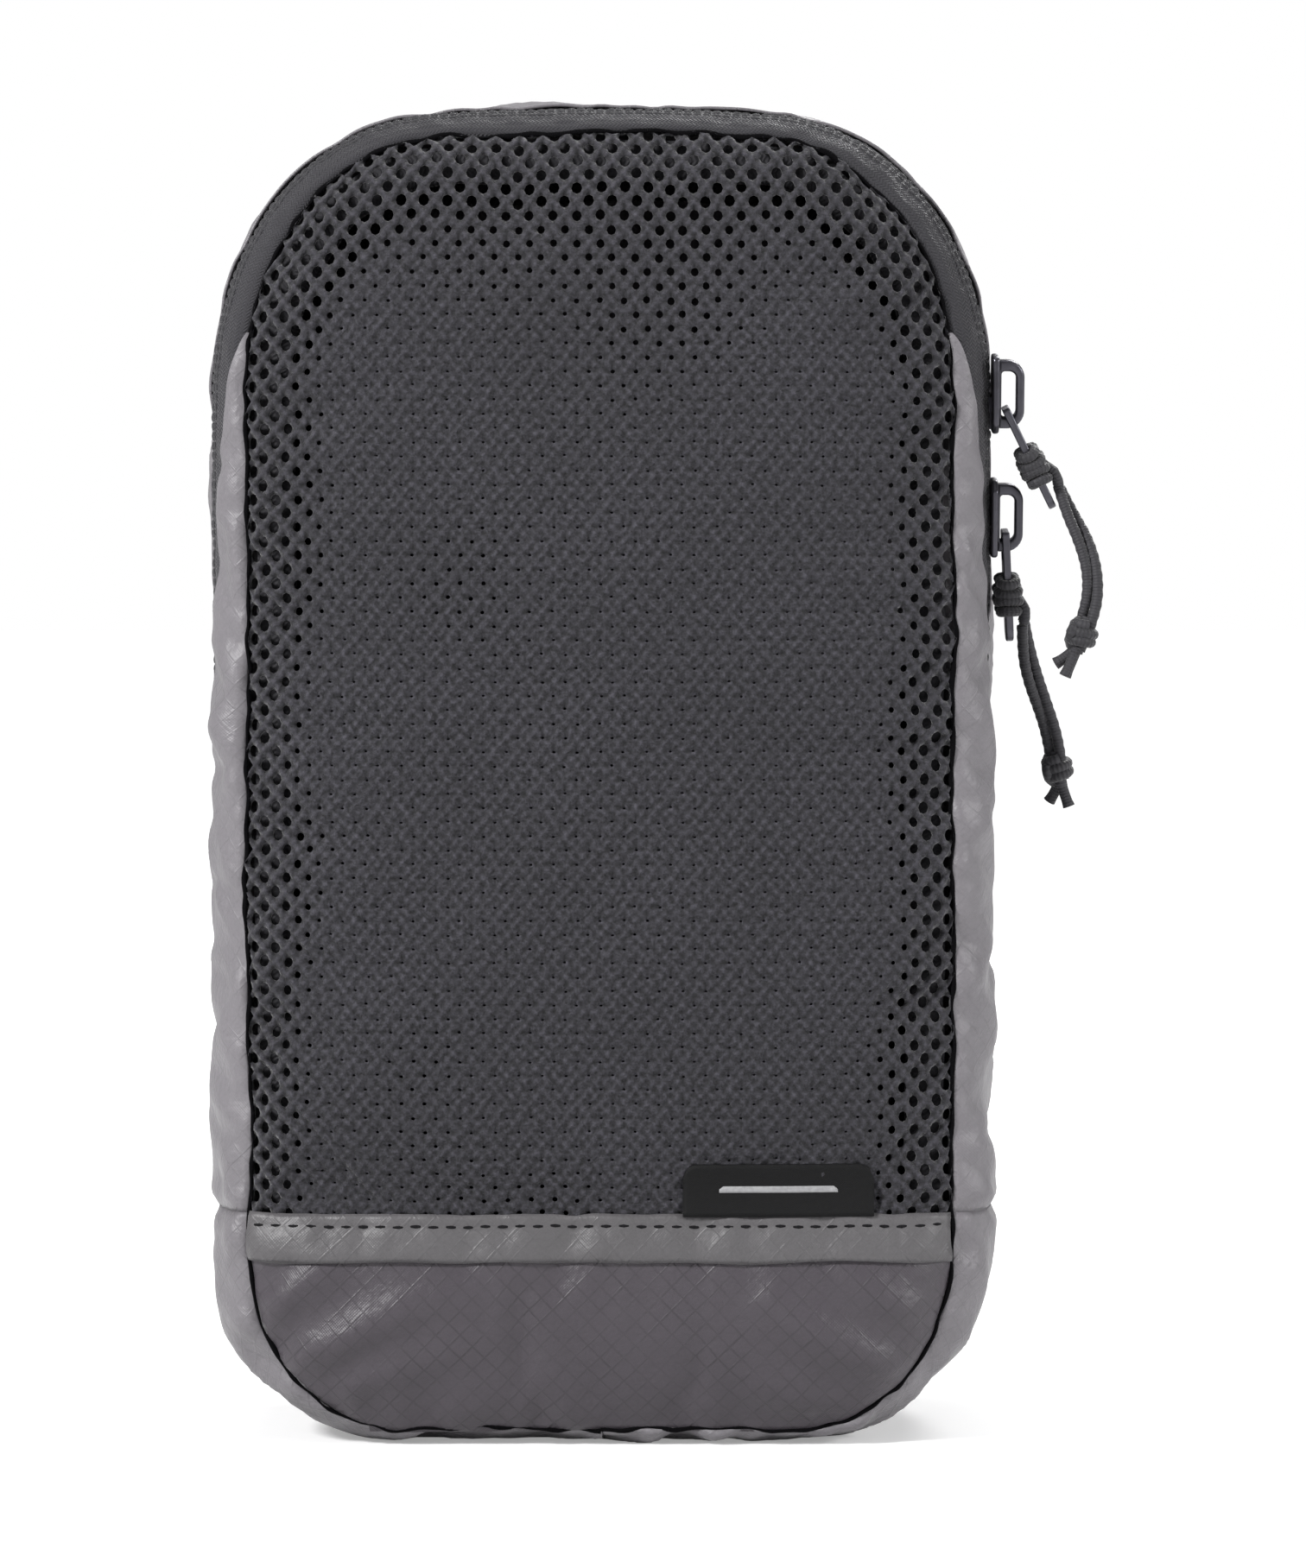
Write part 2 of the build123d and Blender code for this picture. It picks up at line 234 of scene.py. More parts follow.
def strip_relief(s, w, form):
    """Pillows, seam puckers and drag creases of the strips, along their normal."""
    z = form[:, 2]
    length = length_at(s)
    to_seam = np.minimum(w, STRIP_WIDTH - w)
    side = np.where(w < STRIP_WIDTH / 2, -1.0, 1.0)
    at_seam = seam_height(s, side) * np.exp(-to_seam / 1.3)
    pucker_place = xyz(length + 0.5 * to_seam, 40.0 * side, 0.05 * to_seam)
    pucker = 0.75 * ripple(pucker_place, 4.2, 5) * (to_seam / 2.5) * np.exp(1 - to_seam / 2.5)
    pillow = 0.7 * ripple(form, 34.0, 6) + 0.6 * ripple(form, 13.0, 7)
    drag_place = xyz(length * 0.55 + w * 0.8, w * 0.35 - length * 0.12, 9.0)
    drag = np.abs(ripple(drag_place, 8.0, 8))
    drag = 1.1 * (0.45 - drag) * np.clip(to_seam / 4.0, 0, 1)
    zip_gap = np.abs(form[:, 1] - zip_y(z))
    free = np.where(z > JOIN, np.clip((zip_gap - TAPE_WIDTH) / 5.0, 0.08, 1), 1.0)
    join = -0.5 * bump(z - JOIN, 0.9) + 0.35 * bump(np.abs(z - JOIN) - 2.4, 1.6)
    return at_seam + (1 - np.exp(-to_seam / 2.0)) * (pillow * free + drag * free + join) + pucker * free


# How far the simulated cloth moved, by patch: its grid's own lines and a vector at each crossing.
settled = {}


def spline_weights(at):
    """The nearest of a row of knots and the quadratic B-spline weights of it and its neighbours."""
    near = np.rint(at).astype(int)
    t = at - near
    return near, (0.5 * (0.5 - t) ** 2, 0.75 - t ** 2, 0.5 * (0.5 + t) ** 2)


def settled_shift(patch, u, v):
    """The simulated shift at each point of a patch, smooth between the simulated points."""
    if patch not in settled:
        return np.zeros((len(u), 3))
    u_lines, v_lines, shift = settled[patch]
    rows, row_weights = spline_weights(np.interp(u, u_lines, np.arange(len(u_lines))))
    columns, column_weights = spline_weights(np.interp(v, v_lines, np.arange(len(v_lines))))
    total = np.zeros((len(u), 3))
    for i, row_weight in enumerate(row_weights):
        for j, column_weight in enumerate(column_weights):
            r = np.clip(rows + i - 1, 0, len(u_lines) - 1)
            c = np.clip(columns + j - 1, 0, len(v_lines) - 1)
            total += shift[r, c] * (row_weight * column_weight)[:, None]
    return total


def strip(s, w, lift=0.0):
    """Points on the strips' cloth, lifted off its outer face by lift."""
    s, w = np.broadcast_arrays(np.asarray(s, float), np.asarray(w, float))
    form = strip_form(s, w)
    place = form + strip_normal(s, w) * (strip_relief(s, w, form) + lift)[:, None]
    place += settled_shift("strips", s, w)
    place[:, 2] = np.maximum(place[:, 2], 0.05 - np.minimum(lift, 0))
    return place


# Dense points of the seam line, to find the nearest from a point of a panel.
dense = np.linspace(0, LAST, 3200)
DENSE_SEAM = on_outline(SEAM, dense)
DENSE_NORMALS = unit(on_outline(SEAM_NORMALS, dense))
seam_tree = KDTree(len(dense))
for index, point in enumerate(DENSE_SEAM):
    seam_tree.insert((point[0], point[1], 0), index)
seam_tree.balance()


def from_seam(x, z):
    """Distance inside the seam line (negative outside), nearest station and nearest point."""
    near = np.array([seam_tree.find((a, b, 0))[1] for a, b in zip(x, z)])
    gap = np.stack([x, z], 1) - DENSE_SEAM[near]
    inside = -np.sign((gap * DENSE_NORMALS[near]).sum(1)) * np.linalg.norm(gap, axis=1)
    return inside, dense[near], DENSE_SEAM[near]


def creases(x, z, folds):
    """Soft ridges: each is its start, its end, a height and a half width."""
    total = 0 * x
    for (x0, z0), (x1, z1), height, width in folds:
        length = math.hypot(x1 - x0, z1 - z0)
        dx, dz = (x1 - x0) / length, (z1 - z0) / length
        along = (x - x0) * dx + (z - z0) * dz
        beside = (x - x0) * dz - (z - z0) * dx
        bend = beside + 1.2 * np.sin(along / length * 3.0)
        share = np.clip(along / length, 0, 1)
        total += height * 2.6 * share ** 0.5 * (1 - share) ** 1.5 * bump(bend, width * (1 + 0.8 * share))
    return total


FRONT_FOLDS = [
    ((-50, 11), (-14, 28), 2.8, 2.4), ((-45, 6), (-18, 16), 1.8, 1.8), ((-53, 19), (-34, 32), 2.0, 1.9),
    ((50, 10), (18, 28), 2.8, 2.2), ((44, 5), (12, 14), 1.7, 2.0), ((53, 18), (34, 31), 1.9, 1.8),
    ((50, 182), (18, 168), 1.5, 2.6), ((46, 188), (20, 183), 1.1, 2.2), ((53, 174), (38, 150), 1.0, 2.6),
    ((-50, 182), (-26, 166), 1.2, 2.6), ((-54, 120), (-40, 92), 0.9, 3.0), ((54, 96), (38, 60), 0.9, 3.0),
]
BACK_FOLDS = [
    ((-50, 12), (-16, 34), 0.8, 2.4), ((50, 12), (18, 36), 0.8, 2.2), ((45, 7), (12, 15), 0.5, 2.2),
    ((-50, 184), (-16, 158), 0.8, 2.6), ((50, 183), (20, 156), 0.7, 2.4), ((-53, 96), (-24, 104), 0.5, 3.4),
    ((53, 120), (22, 112), 0.5, 3.4), ((-53, 150), (-28, 132), 0.4, 3.0),
]


def panel_form(x, z, side):
    """A panel's smooth form and normals, and each point's distance inside the seam and station."""
    inside, s, _ = from_seam(x, z)
    inside = np.maximum(inside, 0)
    rise = BULGE[side] * (1 - np.exp(-inside / BULGE_RIM))
    slope = BULGE[side] / BULGE_RIM * np.exp(-inside / BULGE_RIM)
    outward = on_outline(SEAM_NORMALS, s)
    normal = unit(xyz(outward[:, 0] * slope, float(side), outward[:, 1] * slope))
    return xyz(x, side * (SEAM_Y + rise), z), normal, inside, s


def panel(x, z, side, lift=0.0):
    """Points on the front (side -1) or rear (side 1) panel, lifted off its outer face."""
    form, normal, inside, s = panel_form(x, z, side)
    length = length_at(s)
    place = xyz(x, 40.0 * side, z)
    pucker_place = xyz(length + 0.4 * inside, 40.0 * side, 0.1 * inside)
    pucker = 0.5 * ripple(pucker_place, 5.0, 4) * (inside / 2.2) * np.exp(1 - inside / 2.2)
    pillow = 0.9 * ripple(place, 40.0, 9) + 0.45 * ripple(place, 15.0, 10)
    folds = creases(x, z, FRONT_FOLDS if side < 0 else BACK_FOLDS)
    relief = seam_height(s, side) * np.exp(-inside / 1.3) + pucker
    relief = relief + (pillow + folds) * (1 - np.exp(-inside / 5.0)) + lift
    return form + normal * relief[:, None] + settled_shift(side, z, x)


# ---- mesh building ----------------------------------------------------------------------
def add_object(name, data):
    """An object for a mesh, a lamp or a camera, in the scene."""
    made = bpy.data.objects.new(name, data)
    bpy.context.scene.collection.objects.link(made)
    return made


def make_piece(name, points, faces, cloth, material, body=None, slot=None, replaces=()):
    """A mesh object from points in millimetres. The cloth attribute carries a material's own coordinates."""
    mesh = bpy.data.meshes.new(name)
    mesh.from_pydata((np.asarray(points) * MM).tolist(), [], [tuple(f) for f in faces])
    cloth = np.asarray(cloth, float)
    attribute = mesh.attributes.new("cloth", "FLOAT_VECTOR", "POINT")
    attribute.data.foreach_set("vector", np.ascontiguousarray(cloth, np.float32).ravel())
    mesh.polygons.foreach_set("use_smooth", [True] * len(mesh.polygons))
    mesh.materials.append(material)
    mesh.update()
    piece = add_object(name, mesh)
    if body == "fold":
        bend_with_lid(piece)
    elif body:
        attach(piece, body)
    if replaces:
        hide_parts(*replaces)
    return piece


def joint_spot(name):
    """Where a joint's axis is, in metres."""
    return next(joint for joint in frame["joints"] if joint["name"] == name)["pos_m"]


def bend_with_lid(piece):
    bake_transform(piece)


def grid_faces(rows, columns, wrap_rows=False, wrap_columns=False):
    """Quads of a grid whose points run row by row."""
    r = np.arange(rows if wrap_rows else rows - 1)
    c = np.arange(columns if wrap_columns else columns - 1)
    r, c = flat_grid(r, c)
    r1, c1 = (r + 1) % rows, (c + 1) % columns
    return np.stack([r * columns + c, r * columns + c1, r1 * columns + c1, r1 * columns + c], 1)


def give_thickness(piece, thickness):
    shell = piece.modifiers.new("thickness", "SOLIDIFY")
    shell.thickness = thickness * MM
    shell.offset = -1.0
    shell.use_even_offset = False


def tube(path, radius, sides=8, up=(0.0, 0.0, 1.0), closed=False):
    """Points, faces and cloth coordinates of a tube along a path; radius may vary along it."""
    path = np.asarray(path, float)
    along = np.roll(path, -1, 0) - np.roll(path, 1, 0)
    if not closed:
        along[0], along[-1] = path[1] - path[0], path[-1] - path[-2]
    along = unit(along)
    side = np.cross(up, along[0])
    side = side if np.linalg.norm(side) > 0.1 else np.cross((1.0, 0.0, 0.0), along[0])
    across = []
    for ahead in along:
        side = side - ahead * (side @ ahead)
        side = side / np.linalg.norm(side)
        across.append(side)
    across = np.array(across)
    top = np.cross(along, across)
    angle = np.arange(sides) * 2 * math.pi / sides
    radius = np.broadcast_to(radius, len(path))[:, None, None]
    ring = across[:, None] * np.cos(angle)[None, :, None] + top[:, None] * np.sin(angle)[None, :, None]
    points = (path[:, None] + ring * radius).reshape(-1, 3)
    faces = [tuple(f[::-1]) for f in grid_faces(len(path), sides, closed, True)]
    if not closed:
        faces += [tuple(range(sides)), tuple(range(len(points) - sides, len(points)))[::-1]]
    cloth = xyz(run_along(path)[:, None], angle / (2 * math.pi), 0.0).reshape(-1, 3)
    return points, faces, cloth


def merged(parts):
    """Several (points, faces, cloth) as one."""
    points, faces, cloth, count = [], [], [], 0
    for p, f, c in parts:
        points.append(p)
        cloth.append(c)
        faces += [tuple(int(i) + count for i in face) for face in f]
        count += len(p)
    return np.concatenate(points), faces, np.concatenate(cloth)


def stitch_shapes(starts, ends, normals, width, height):
    """A small rounded bar for each stitch, sunk at both ends."""
    profile = [(0.0, 0.15, -0.3), (0.12, 0.75, 0.35), (0.5, 1.0, 1.0),
               (0.88, 0.75, 0.35), (1.0, 0.15, -0.3)]    # share of the length, width and height
    shares = np.array([t for t, _, _ in profile])[:, None]
    angle = np.linspace(0, math.pi, 5)
    parts = []
    for start, end, up in zip(starts, ends, normals):
        along = end - start
        side = unit(np.cross(up, along))
        rings = [start + along * t + side * (np.cos(angle)[:, None] * width / 2 * wide)
                 + up * (height * high + np.sin(angle)[:, None] * 0.4 * width * wide)
                 for t, wide, high in profile]
        cloth = xyz(shares * np.linalg.norm(along), np.cos(angle), 0.0)
        parts.append((np.concatenate(rings), grid_faces(len(profile), 5), cloth.reshape(-1, 3)))
    return merged(parts)


# ---- materials --------------------------------------------------------------------------
def srgb(*levels):
    """A linear colour from screen levels of 0 to 255."""
    return tuple(((v / 255 + 0.055) / 1.055) ** 2.4 for v in levels) + (1.0,)


class Shader:
    """A material with its Principled shader and short ways to add nodes."""

    def __init__(self, name, roughness, **sockets):
        self.material = bpy.data.materials.new(name)
        self.material.use_nodes = True
        self.tree = self.material.node_tree
        self.surface = self.tree.nodes["Principled BSDF"]
        self.surface.inputs["Roughness"].default_value = roughness
        for socket, value in sockets.items():
            self.surface.inputs[socket.replace("_", " ")].default_value = value

    def node(self, kind, inputs=(), **settings):
        made = self.tree.nodes.new(kind)
        for key, value in settings.items():
            setattr(made, key, value)
        for key, value in dict(inputs).items():
            self.put(made.inputs[key], value)
        return made

    def put(self, socket, value):
        if isinstance(value, bpy.types.NodeSocket):
            self.tree.links.new(value, socket)
        else:
            socket.default_value = value

    def calc(self, operation, a, b=0.0, c=0.0):
        return self.node("ShaderNodeMath", {0: a, 1: b, 2: c}, operation=operation).outputs[0]

    def times(self, a, b):
        return self.calc("MULTIPLY", a, b)

    def scaled_sum(self, a, b, c):
        """a times b, plus c."""
        return self.calc("MULTIPLY_ADD", a, b, c)

    def cloth(self):
        """The cloth coordinates in millimetres: the vector, then along and across."""
        place = self.node("ShaderNodeAttribute", attribute_name="cloth").outputs["Vector"]
        parts = self.node("ShaderNodeSeparateXYZ", {0: place}).outputs
        return place, parts[0], parts[1]

    def noise(self, place, size, detail=2.0, roughness=0.5):
        return self.node("ShaderNodeTexNoise", {
            "Vector": place, "Scale": 1.0 / size, "Detail": detail, "Roughness": roughness}).outputs[0]

    def wave(self, value, period):
        return self.calc("SINE", self.times(value, 2 * math.pi / period))

    def spread(self, value, low, high, to_low, to_high):
        return self.node("ShaderNodeMapRange", {
            "Value": value, "From Min": low, "From Max": high,
            "To Min": to_low, "To Max": to_high}).outputs[0]

    def tint(self, colour, factor):
        """The colour times a factor that varies over the surface, as the base colour."""
        scaled = self.node("ShaderNodeVectorMath", {0: colour[:3], "Scale": factor}, operation="SCALE")
        self.put(self.surface.inputs["Base Color"], scaled.outputs[0])

    def bump(self, height, distance):
        """Relief from a height in millimetres."""
        node = self.node("ShaderNodeBump", {"Height": height, "Strength": 1.0, "Distance": distance * MM})
        self.put(self.surface.inputs["Normal"], node.outputs[0])


def ripstop(name, colour, grid_depth, crease):
    """Plain woven nylon with a slanting ripstop grid, fine weave and soft small creases."""
    shader = Shader(name, 0.44, Specular_IOR_Level=0.5, Sheen_Weight=0.12, Sheen_Roughness=0.4)
    place, u, v = shader.cloth()
    lines = []
    for sign in (1.0, -1.0):
        slant = shader.times(shader.scaled_sum(v, sign, u), math.sqrt(0.5))
        near = shader.calc("PINGPONG", slant, RIPSTOP_PITCH / 2)
        lines.append(shader.spread(near, 0.04, 0.22, 1.0, 0.0))
    grid = shader.calc("MAXIMUM", lines[0], lines[1])
    patchy = shader.spread(shader.noise(place, 9.0), 0.35, 0.65, 0.25, 1.0)
    grid = shader.times(grid, patchy)
    broad = shader.noise(place, 26.0, 3.0)
    grain = shader.noise(place, 0.55, 2.0, 0.7)
    shade = shader.spread(broad, 0.3, 0.7, 0.95, 1.05)
    shade = shader.times(shade, shader.spread(grain, 0.3, 0.7, 0.93, 1.07))
    shade = shader.times(shade, shader.scaled_sum(grid, -grid_depth, 1.0))
    shader.tint(colour, shade)
    weave = shader.times(shader.wave(u, 0.42), shader.wave(v, 0.42))
    soft = shader.noise(place, 3.6, 3.0, 0.55)
    height = shader.scaled_sum(weave, 0.012, shader.times(grid, 0.05))
    height = shader.scaled_sum(soft, crease, height)
    shader.bump(height, 1.0)
    return shader.material


def knit(name, colour):
    """The yarn of the knitted mesh: rows of small loops, painted lighter where they stand up and darker in
    the hollows between them.
    """
    shader = Shader(name, 0.74, Specular_IOR_Level=0.3, Sheen_Weight=0.25, Sheen_Roughness=0.45)
    place, u, v = shader.cloth()
    broad = shader.noise(place, 30.0, 2.0)
    grain = shader.noise(place, 0.8, 3.0, 0.75)
    waver_u = shader.scaled_sum(shader.noise(place, 3.1), 0.8, u)
    waver_v = shader.scaled_sum(shader.noise(place, 2.2), 0.9, v)
    loops = shader.times(shader.wave(waver_u, MESH_PITCH[0] / 2), shader.wave(waver_v, MESH_PITCH[1] / 2))
    shade = shader.spread(broad, 0.3, 0.7, 0.9, 1.1)
    # The grain is partly random tone of the yarn and partly painted shade: the same noise raises the relief
    # below, so the colour is darker where the yarn sinks.
    shade = shader.times(shade, shader.spread(grain, 0.32, 0.68, 0.15, 1.9))
    # Painted shade: the loop pattern darkens the colour in the hollows between the loops, where the relief
    # below is lowest.
    shade = shader.times(shade, shader.scaled_sum(loops, 0.55, 1.0))
    shader.tint(colour, shade)
    height = shader.scaled_sum(loops, 0.14, shader.times(grain, 0.35))
    shader.bump(height, 1.0)
    return shader.material


def woven_tape(name, colour, rib):
    """Dense ribbed tape: ridges across it and a fine herringbone, with painted shade in the grooves between
    the ridges.
    """
    shader = Shader(name, 0.7, Specular_IOR_Level=0.3, Sheen_Weight=0.2, Sheen_Roughness=0.4)
    place, u, v = shader.cloth()
    zigzag = shader.calc("PINGPONG", v, 0.8)
    rib_relief_and_shade = shader.wave(shader.scaled_sum(zigzag, 0.7, u), rib)
    grain = shader.noise(place, 0.5, 2.0, 0.7)
    # Painted shade: the ridges darken the colour where their relief is lowest, in the grooves between them.
    shade = shader.scaled_sum(rib_relief_and_shade, 0.13, 1.0)
    shade = shader.times(shade, shader.spread(grain, 0.3, 0.7, 0.82, 1.18))
    shader.tint(colour, shade)
    shader.bump(shader.scaled_sum(rib_relief_and_shade, 0.05, shader.times(grain, 0.1)), 1.0)
    return shader.material


def yarn(name, colour, twist, roughness=0.6, gloss=0.35, fuzz=0.2):
    """Sewing thread or cord: slanting twisted strands round its length, painted darker in the grooves between
    them.
    """
    shader = Shader(name, roughness, Specular_IOR_Level=gloss, Sheen_Weight=fuzz)
    place, u, v = shader.cloth()
    one = shader.wave(shader.scaled_sum(v, twist, u), twist)
    other = shader.wave(shader.scaled_sum(v, -twist, u), twist)
    ply_relief_and_shade = shader.times(one, other)
    # Painted shade: the colour darkens where the relief of the twist is lowest, in the grooves between the
    # strands.
    shader.tint(colour, shader.scaled_sum(ply_relief_and_shade, 0.35, 1.0))
    shader.bump(ply_relief_and_shade, 0.06)
    return shader.material


def gunmetal(name, colour):
    """Dark plated die-cast metal, brighter where edges have rubbed."""
    shader = Shader(name, 0.34, Metallic=0.85, Specular_IOR_Level=0.5)
    place = shader.node("ShaderNodeTexCoord").outputs["Object"]
    edge = shader.node("ShaderNodeNewGeometry").outputs["Pointiness"]
    worn = shader.spread(edge, 0.52, 0.62, 0.0, 1.0)
    spots = shader.noise(place, 0.0016, 3.0)
    shade = shader.scaled_sum(worn, 1.6, shader.spread(spots, 0.3, 0.7, 0.85, 1.15))
    shader.tint(colour, shade)
    shader.put(shader.surface.inputs["Roughness"], shader.spread(spots, 0.3, 0.7, 0.28, 0.42))
    shader.bump(shader.noise(place, 0.0004, 2.0), 0.015)
    return shader.material


def satin(name, colour):
    """A soft label: fine close weave."""
    shader = Shader(name, 0.62, Specular_IOR_Level=0.2)
    place, u, v = shader.cloth()
    weave = shader.times(shader.wave(u, 0.36), shader.wave(v, 0.3))
    grain = shader.noise(place, 0.7, 2.0, 0.6)
    shader.tint(colour, shader.spread(grain, 0.3, 0.7, 0.85, 1.15))
    shader.bump(shader.scaled_sum(weave, 0.02, shader.times(grain, 0.05)), 1.0)
    return shader.material


PANEL_CLOTH = ripstop("panel_ripstop", srgb(65, 60, 66), 0.3, 0.45)
STRIP_CLOTH = ripstop("strip_ripstop", srgb(111, 108, 112), 0.08, 0.5)
HEM_CLOTH = ripstop("hem_ripstop", srgb(84, 82, 84), 0.06, 0.45)
MESH_YARN = knit("mesh_yarn", srgb(41, 40, 45))
TAPE_WEAVE = woven_tape("tape_weave", srgb(46, 45, 49), 0.62)
BINDING_WEAVE = woven_tape("binding_weave", srgb(34, 33, 37), 0.9)
CHAIN_THREAD = yarn("chain_thread", srgb(45, 44, 48), 0.5)
# Near black without sheen: the seam's thread, and painted shadow in the seam's groove.
SEAM_THREAD_AND_SHADOW = yarn("seam_thread_and_shadow", srgb(5, 4, 7), 0.5, 0.9, 0.08, 0.0)
TOP_THREAD = yarn("top_thread", srgb(22, 21, 24), 0.5, 0.8, 0.2, 0.0)
COIL_PLASTIC = yarn("coil_nylon", srgb(38, 37, 41), 0.9, 0.35)
CORD_BRAID = yarn("cord_braid", srgb(42, 41, 45), 0.95, 0.62)
LABEL_SATIN = satin("label_satin", srgb(13, 13, 14))
LABEL_BAR = satin("label_bar_thread", srgb(150, 150, 152))
METAL = gunmetal("gunmetal", srgb(74, 73, 79))


# ---- strips -----------------------------------------------------------------------------
def beside_zip(depth, along_cloth=0.0):
    """Distance across the strips, by station, of a line beside the zip's centre line: first so
    far behind it in depth, then so far on along the cloth."""
    return np.clip(across_at(zip_y(WIDEST[:, 1]) + depth) + along_cloth, 0.0, STRIP_WIDTH)


def strip_grid(first, last, near, far, spacing=1.1, rows=24, lift=0.0, edge_lift=None):
    """A grid over the strips between two stations and two lines across them."""
    count = int(abs(length_at(last) - length_at(first)) / spacing) + 2
    s = np.linspace(first, last, count)
    low, high = np.interp(s, STATIONS, near), np.interp(s, STATIONS, far)
    t = (1 - np.cos(np.linspace(0, math.pi, rows))) / 2 * 0.5 + np.linspace(0, 1, rows) * 0.5
    s2, t2 = flat_grid(s, t)
    w = np.interp(s2, s, low) * (1 - t2) + np.interp(s2, s, high) * t2
    raised = lift if edge_lift is None else lift + edge_lift(s2, w)
    points = strip(s2, w, raised)
    cloth = xyz(length_at(s2), w, 0.0)
    return points, grid_faces(count, rows), cloth


ALL_FRONT = 0 * LENGTHS
ALL_REAR = ALL_FRONT + STRIP_WIDTH
TAPE_FRONT = beside_zip(-TAPE_WIDTH - CHAIN_GAP)
TAPE_REAR = beside_zip(TAPE_WIDTH + CHAIN_GAP)
UNDERLAP = 2.2                                   # the tapes reach this far under the cloth
TAPE_SINK = 0.55
TAPE_THICKNESS = 0.4
CHAIN_ROWS = (0.75, 2.0)                         # the chain stitch's two rows, from the tape's edge
CHAIN_PITCH, CHAIN_WIDTH = 1.5, 0.62


def folded_edge(line):
    """Lift of a folded cloth edge along a line: the double layer stands up beside it."""
    return lambda s, w: 0.3 * bump(w - np.interp(s, STATIONS, line), 2.2)


def make_strips():
    """Boxing behind the zip and round the bottom, and the two gussets before the zip."""
    rear = strip_grid(JOIN_RIGHT, JOIN_LEFT, TAPE_REAR, ALL_REAR, rows=44, edge_lift=folded_edge(TAPE_REAR))
    boxing = make_piece("rear_boxing_cloth", *rear, STRIP_CLOTH, "main", "ripstop_light", ["rear_boxing"])
    give_thickness(boxing, CLOTH)
    fronts = [strip_grid(LAST - 0.001, JOIN_LEFT, ALL_FRONT, ALL_REAR, rows=56),
              strip_grid(JOIN_RIGHT, 0.001, ALL_FRONT, ALL_REAR, rows=56)]
    fronts = [(p, [f[::-1] for f in faces], c) for p, faces, c in fronts]
    bottom = make_piece("bottom_boxing_cloth", *merged(fronts), STRIP_CLOTH, "main", "ripstop_light",
                        ["bottom_boxing"])
    weld(bottom, 0.02)
    give_thickness(bottom, CLOTH)
    for name, first, last in (("right", JOIN_RIGHT, LAST / 2), ("left", LAST / 2, JOIN_LEFT)):
        stations = np.linspace(first, last, 400)
        reach = stations[np.interp(stations, STATIONS, TAPE_FRONT) > 0.15]
        grid = strip_grid(reach.min(), reach.max(), ALL_FRONT, TAPE_FRONT, spacing=0.9,
                          rows=22, edge_lift=folded_edge(TAPE_FRONT))
        piece = make_piece("front_gusset_cloth_" + name, *grid, STRIP_CLOTH, "fold", "ripstop_light",
                           ["front_gusset_" + name])
        give_thickness(piece, CLOTH)


def weld(piece, reach):
    """Joins points that are within reach, in millimetres."""
    piece.modifiers.new("weld", "WELD").merge_threshold = reach * MM


def make_zip():
    """Two tape halves, their chain stitching and their coils."""
    middle = beside_zip(0.0)
    lengths = length_at([JOIN_RIGHT, JOIN_LEFT])

    def ridge(s, w):
        """The coil underneath lifts the tape along its edge."""
        return 0.62 * bump(w - np.interp(s, STATIONS, middle), 3.4)

    for name, side, body in (("rear", 1, "main"), ("front", -1, "fold")):
        inner = beside_zip(0.0, side * CHAIN_GAP * 0.3)
        outer = beside_zip(side * (TAPE_WIDTH + CHAIN_GAP), side * UNDERLAP)
        near, far = (inner, outer) if side > 0 else (outer, inner)
        grid = strip_grid(JOIN_RIGHT, JOIN_LEFT, near, far, spacing=1.0, rows=20, lift=-TAPE_SINK,
                          edge_lift=ridge)
        tape = make_piece("zip_tape_cloth_" + name, *grid, TAPE_WEAVE, body, "zip_tape", ["zip_tape_" + name])
        give_thickness(tape, TAPE_THICKNESS)
        parts = []
        at = np.arange(lengths[0] + 0.5, lengths[1] - CHAIN_PITCH, CHAIN_PITCH)
        for offset in CHAIN_ROWS:
            s0, s1 = [np.interp(at + d, LENGTHS, STATIONS) for d in (0.05, CHAIN_PITCH * 0.92)]
            line = beside_zip(0.0, side * (CHAIN_GAP * 0.3 + offset))
            w0, w1 = [np.interp(s, STATIONS, line) for s in (s0, s1)]
            lift = -TAPE_SINK + ridge(s0, w0)
            starts, ends = strip(s0, w0, lift), strip(s1, w1, lift)
            parts.append(stitch_shapes(starts, ends, strip_normal(s0, w0), CHAIN_WIDTH, 0.03))
        make_piece("zip_chain_stitches_" + name, *merged(parts), CHAIN_THREAD, body, "zip_tape")
        make_coil(name, side, body, middle, lengths)


def make_coil(name, side, body, middle, lengths):
    """One half of the coil: flattened turns on the inner face, sewn along the tape's edge."""
    steps = 10                                   # points in a turn
    turns = int((lengths[1] - lengths[0]) / COIL_PITCH)
    angle = np.arange(turns * steps + 1) * 2 * math.pi / steps
    at = lengths[0] + COIL_PITCH * (angle / (2 * math.pi) + (0.25 if side > 0 else -0.25)) + 0.4
    s = np.interp(np.clip(at, *lengths), LENGTHS, STATIONS)
    w = np.interp(s, STATIONS, middle) + side * (0.55 - 0.95 * np.cos(angle))
    depth = -TAPE_SINK + 0.5 - TAPE_THICKNESS - 0.75 - 0.55 * np.sin(angle)
    path = strip(s, w, depth)
    make_piece("zip_coil_turns_" + name, *tube(path, 0.26, 5), COIL_PLASTIC, body, "zip_coil",
               ["zip_coil_" + name])


# ---- how the filled cloth settles -------------------------------------------------------
SKIN_SPACING, SKIN_ROWS = 2.6, 25
SKIN_UNEVENNESS = 0.25                           # small bumps for the wrinkles to start from
SETTLE_FRAMES = 16
SEWN_HOLD = 0.9                                  # how firmly the zip and the join seams hold the skin
SWELLING_LEFT = 0.3                              # share of the broad swelling that is kept
MOST_SHIFT = {"strips": 1.3, -1: 1.6, 1: 2.2}    # by patch; the panels go by their side


